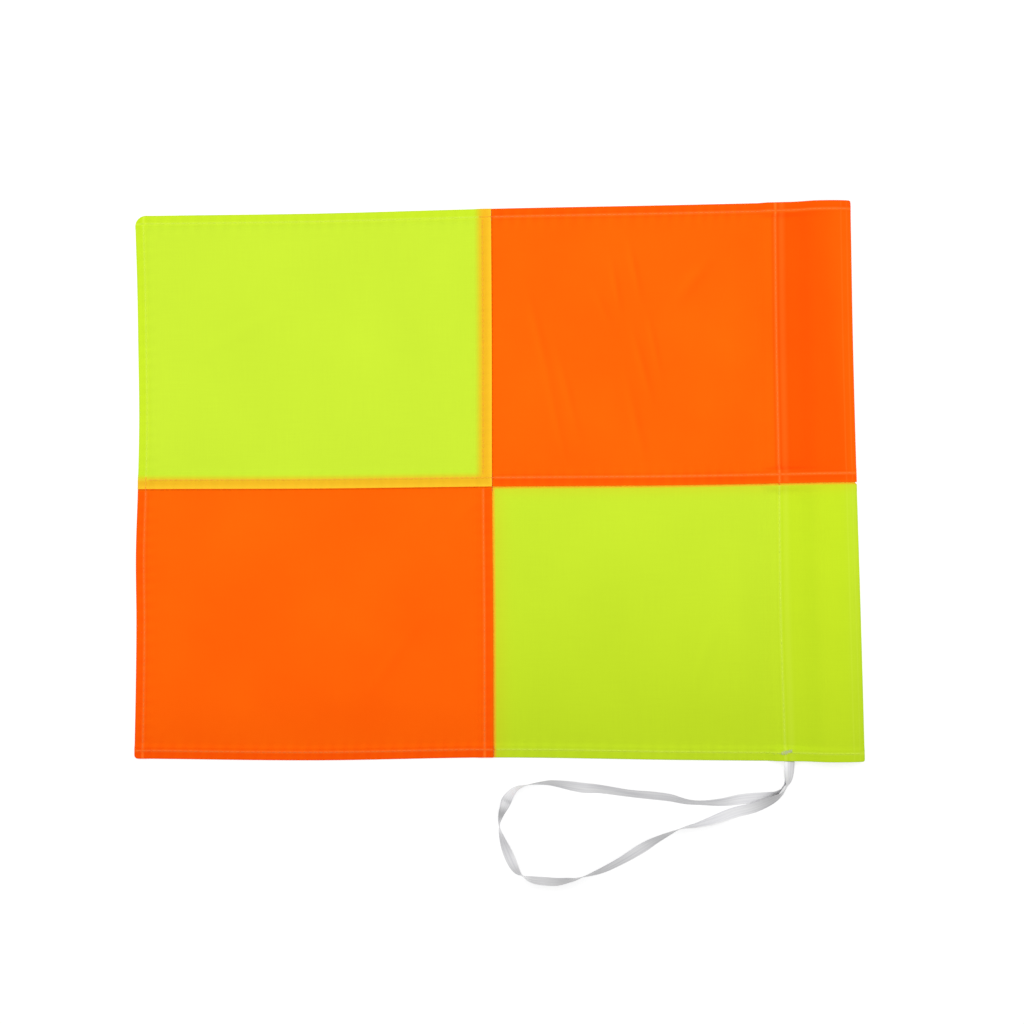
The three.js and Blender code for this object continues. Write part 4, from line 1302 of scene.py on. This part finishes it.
def clothMaterial(name, colours, dyeAndPaintedLight):
    # Plain weave on the cloth's own run: the warp's sine times the weft's makes the crossings, and their
    # sizes added make the threads. The colour goes from one layer's to several layers' by depth, then to
    # amber and to the painted shade of a seam's groove, and is multiplied by 1 plus the shades added up,
    # among them painted shade from the relief and beside stitches.
    material, tree, shader = newMaterial(name)
    uv, along = splitMap(tree, "clothRun")
    turns = 2 * math.pi / (weave["threadPitch"] * mm)
    warp = mathNode(tree, "SINE", mathNode(tree, "MULTIPLY", along[0], turns))
    weft = mathNode(tree, "SINE", mathNode(tree, "MULTIPLY", along[1], turns))
    woven = mathNode(tree, "MULTIPLY", warp, weft)
    ridges = mathNode(tree, "ADD", mathNode(tree, "ABSOLUTE", warp), mathNode(tree, "ABSOLUTE", weft))
    threads = mathNode(tree, "MULTIPLY", ridges, weave["threads"])
    height = mathNode(tree, "MULTIPLY_ADD", woven, weave["crossing"], threads)
    ridge, dips = stitchShades(tree)
    patch = addNode(tree, "ShaderNodeTexNoise", Vector=uv, Scale=weave["mottleScale"], Detail=3.0).outputs[0]
    patch = mathNode(tree, "SUBTRACT", patch, 0.5)
    # painted shade: the relief's lean here, and below it the dips beside stitches
    lean = mathNode(tree, "SUBTRACT", readValue(tree, "shade"), 0.5)
    shade = mathNode(tree, "MULTIPLY", slubAt(tree, uv), weave["slub"])
    for part, share in (
        (woven, weave["crossingShade"]), (patch, dyeAndPaintedLight["mottle"]), (lean, dyeAndPaintedLight["shading"]),
        (dips, weave["dipShade"] * dyeAndPaintedLight["shading"]),
    ):
        shade = mathNode(tree, "MULTIPLY_ADD", part, share, shade)
    whole = mathNode(tree, "ADD", shade, 1.0)
    red = mathNode(tree, "MULTIPLY_ADD", shade, dyeAndPaintedLight["redShare"], 1.0)
    single, deep, stitched = (rgba(colours[key]) for key in ("single", "deep", "stitched"))
    amber, amberLight, ditchShadeColour = (rgba(clothColours[key]) for key in ("amber", "amberLight", "ditchShade"))
    colour = mixColour(tree, readValue(tree, "depth"), single, deep)
    colour = mixColour(tree, ridge, colour, stitched)
    shining = mixColour(tree, readValue(tree, "light"), amber, amberLight)
    colour = mixColour(tree, readValue(tree, "amber"), colour, shining)
    colour = mixColour(tree, readValue(tree, "ditchShade"), colour, ditchShadeColour)
    tree.links.new(toned(tree, colour, red, whole, whole), shader.inputs["Base Color"])
    # the red emission is a painted glow, standing for the orange's fluorescence
    setShader(shader, {
        "Roughness": weave["roughness"], "Specular IOR Level": weave["specular"], "Specular Tint": single,
        "Sheen Weight": weave["sheen"], "Sheen Tint": single,
        "Emission Color": (1, 0, 0, 1), "Emission Strength": dyeAndPaintedLight["glow"],
    })
    addBump(tree, shader, height, weave["bumpStrength"], weave["bump"])
    return material


thread = {
    "plyScale": 2600.0,
    "plyContrast": 0.3,
    "plyTone": 0.85,  # the darkest ply's tone
    "roughness": 0.6,
    "specular": 0.12,
    "bump": 0.03,
    "bumpStrength": 0.4,
}


def threadMaterial(name):
    # twisted thread: each stitch's own tint times plyTone plus plyContrast of a fine noise
    material, tree, shader = newMaterial(name)
    place = addNode(tree, "ShaderNodeTexCoord").outputs["Object"]
    noise = addNode(tree, "ShaderNodeTexNoise", Vector=place, Scale=thread["plyScale"], Detail=2.0)
    plies = noise.outputs[0]
    tone = mathNode(tree, "MULTIPLY_ADD", plies, thread["plyContrast"], thread["plyTone"])
    tint = addNode(tree, "ShaderNodeAttribute", {"attribute_name": "tint"}).outputs["Color"]
    tree.links.new(toned(tree, tint, tone, tone, tone), shader.inputs["Base Color"])
    setShader(shader, {"Roughness": thread["roughness"], "Specular IOR Level": thread["specular"]})
    addBump(tree, shader, plies, thread["bumpStrength"], thread["bump"])
    return material


satin = {
    "fineScale": (60, 5200, 1),  # single floats, and broader bands of them
    "broadScale": (22, 900, 1),
    "fineShare": 0.7,
    "broadShare": 1.3,
    # the streaks are painted sheen, from the shaded colour to the bright one
    "streakRange": (0.72, 1.28),
    "shaded": (0.80, 0.795, 0.83),
    "bright": (1.0, 1.0, 1.0),
    "roughness": 0.36,
    "specular": 0.5,
    "anisotropic": 0.5,
    "bump": 0.05,
    "bumpStrength": 0.35,
}


def satinMaterial(name):
    # satin: long floats along the ribbon, so two noises drawn out along it are added up and read from the
    # shaded colour to the bright one as painted streaks of sheen, times the ribbon's tone of painted sheen
    # and shade
    material, tree, shader = newMaterial(name)
    uv = addNode(tree, "ShaderNodeUVMap", {"uv_map": "clothRun"}).outputs[0]
    floats, bands = drawnNoises(tree, uv, (satin["fineScale"], satin["broadScale"]))
    broad = mathNode(tree, "MULTIPLY", bands, satin["broadShare"])
    streaks = mathNode(tree, "MULTIPLY_ADD", floats, satin["fineShare"], broad)
    least, most = satin["streakRange"]
    streak = addNode(tree, "ShaderNodeMapRange", i0=streaks, i1=least, i2=most, i3=0.0, i4=1.0).outputs[0]
    colour = mixColour(tree, streak, rgba(satin["shaded"]), rgba(satin["bright"]))
    tone = readValue(tree, "tone")
    tree.links.new(toned(tree, colour, tone, tone, tone), shader.inputs["Base Color"])
    setShader(shader, {
        "Roughness": satin["roughness"], "Specular IOR Level": satin["specular"],
        "Anisotropic": satin["anisotropic"],
    })
    addBump(tree, shader, floats, satin["bumpStrength"], satin["bump"])
    return material


def dress(obj, material):
    # one material all over, and a slot where the piece has none yet
    obj.data.materials.clear()
    obj.data.materials.append(material)


greenCloth = clothMaterial("yellow_green_weave", clothColours["yellow_green"], dyesAndPaintedLight["yellow_green"])
orangeCloth = clothMaterial("orange_weave", clothColours["orange"], dyesAndPaintedLight["orange"])
dress(panels["fly_upper_panel"], greenCloth)
dress(panels["hoist_lower_panel"], greenCloth)
dress(panels["hoist_upper_panel"], orangeCloth)
dress(panels["fly_lower_panel"], orangeCloth)
paleThread = threadMaterial("pale_thread")
for row in rows:
    dress(row, paleThread)
dress(tack, threadMaterial("tack_thread"))
dress(ribbon, satinMaterial("white_satin"))
print("materials set")


# studio, in metres and watts: white table, a broad soft lamp low over the flag's upper part, and an
# even white world

studio = {
    "tableSize": 6.0,
    "tableDrop": 0.00008,
    "tableColour": (0.62, 0.62, 0.62),
    "tableGlow": 0.62,
    "worldStrength": 0.63,
    "lampSize": (1.5, 0.6),
    "lampPlace": (0.0, 0.15, 0.15),
    "lampPower": 1.36,
}


def seenOrMirrored(tree):
    # 1 for rays from the camera, mirrored ones and ones through glass, and 0 for the rest
    rays = addNode(tree, "ShaderNodeLightPath").outputs
    seen = mathNode(tree, "MAXIMUM", rays["Is Camera Ray"], rays["Is Glossy Ray"])
    return mathNode(tree, "MAXIMUM", seen, rays["Is Transmission Ray"])


def makeTable(s):
    # a square just under the flag, whose own glow only the rays of seenOrMirrored get
    edge, drop = s["tableSize"] / 2, s["tableDrop"]
    corners = [(-edge, -edge, -drop), (edge, -edge, -drop), (edge, edge, -drop), (-edge, edge, -drop)]
    table = newObject("table_top", corners, [(0, 1, 2, 3)], smooth=False)
    material, tree, shader = newMaterial("table_white")
    tree.nodes.remove(shader)
    plain = addNode(tree, "ShaderNodeBsdfDiffuse", Color=rgba(s["tableColour"])).outputs[0]
    strength = mathNode(tree, "MULTIPLY", seenOrMirrored(tree), s["tableGlow"])
    glow = addNode(tree, "ShaderNodeEmission", Strength=strength).outputs[0]
    both = addNode(tree, "ShaderNodeAddShader", i0=plain, i1=glow).outputs[0]
    tree.links.new(both, tree.nodes["Material Output"].inputs["Surface"])
    table.data.materials.append(material)


def makeWorld(s):
    # worldStrength for the light on the flag, and 1 for the rays of seenOrMirrored
    world = bpy.data.worlds.new("studio_world")
    bpy.context.scene.world = world
    world.use_nodes = True
    tree = world.node_tree
    more = mathNode(tree, "MULTIPLY", seenOrMirrored(tree), 1 - s["worldStrength"])
    strength = mathNode(tree, "ADD", more, s["worldStrength"])
    background = tree.nodes["Background"]
    background.inputs["Color"].default_value = (1, 1, 1, 1)
    tree.links.new(strength, background.inputs["Strength"])


def makeLamp(s):
    # an area lamp that faces straight down, and that the camera doesn't see
    data = bpy.data.lights.new("soft_lamp", "AREA")
    data.shape = "RECTANGLE"
    data.size, data.size_y = s["lampSize"]
    data.energy = s["lampPower"]
    lamp = bpy.data.objects.new("soft_lamp", data)
    lamp.location = s["lampPlace"]
    lamp.visible_camera = False
    bpy.context.scene.collection.objects.link(lamp)


makeTable(studio)
makeWorld(studio)
makeLamp(studio)
bpy.context.scene.view_settings.view_transform = "Standard"
print("studio set")
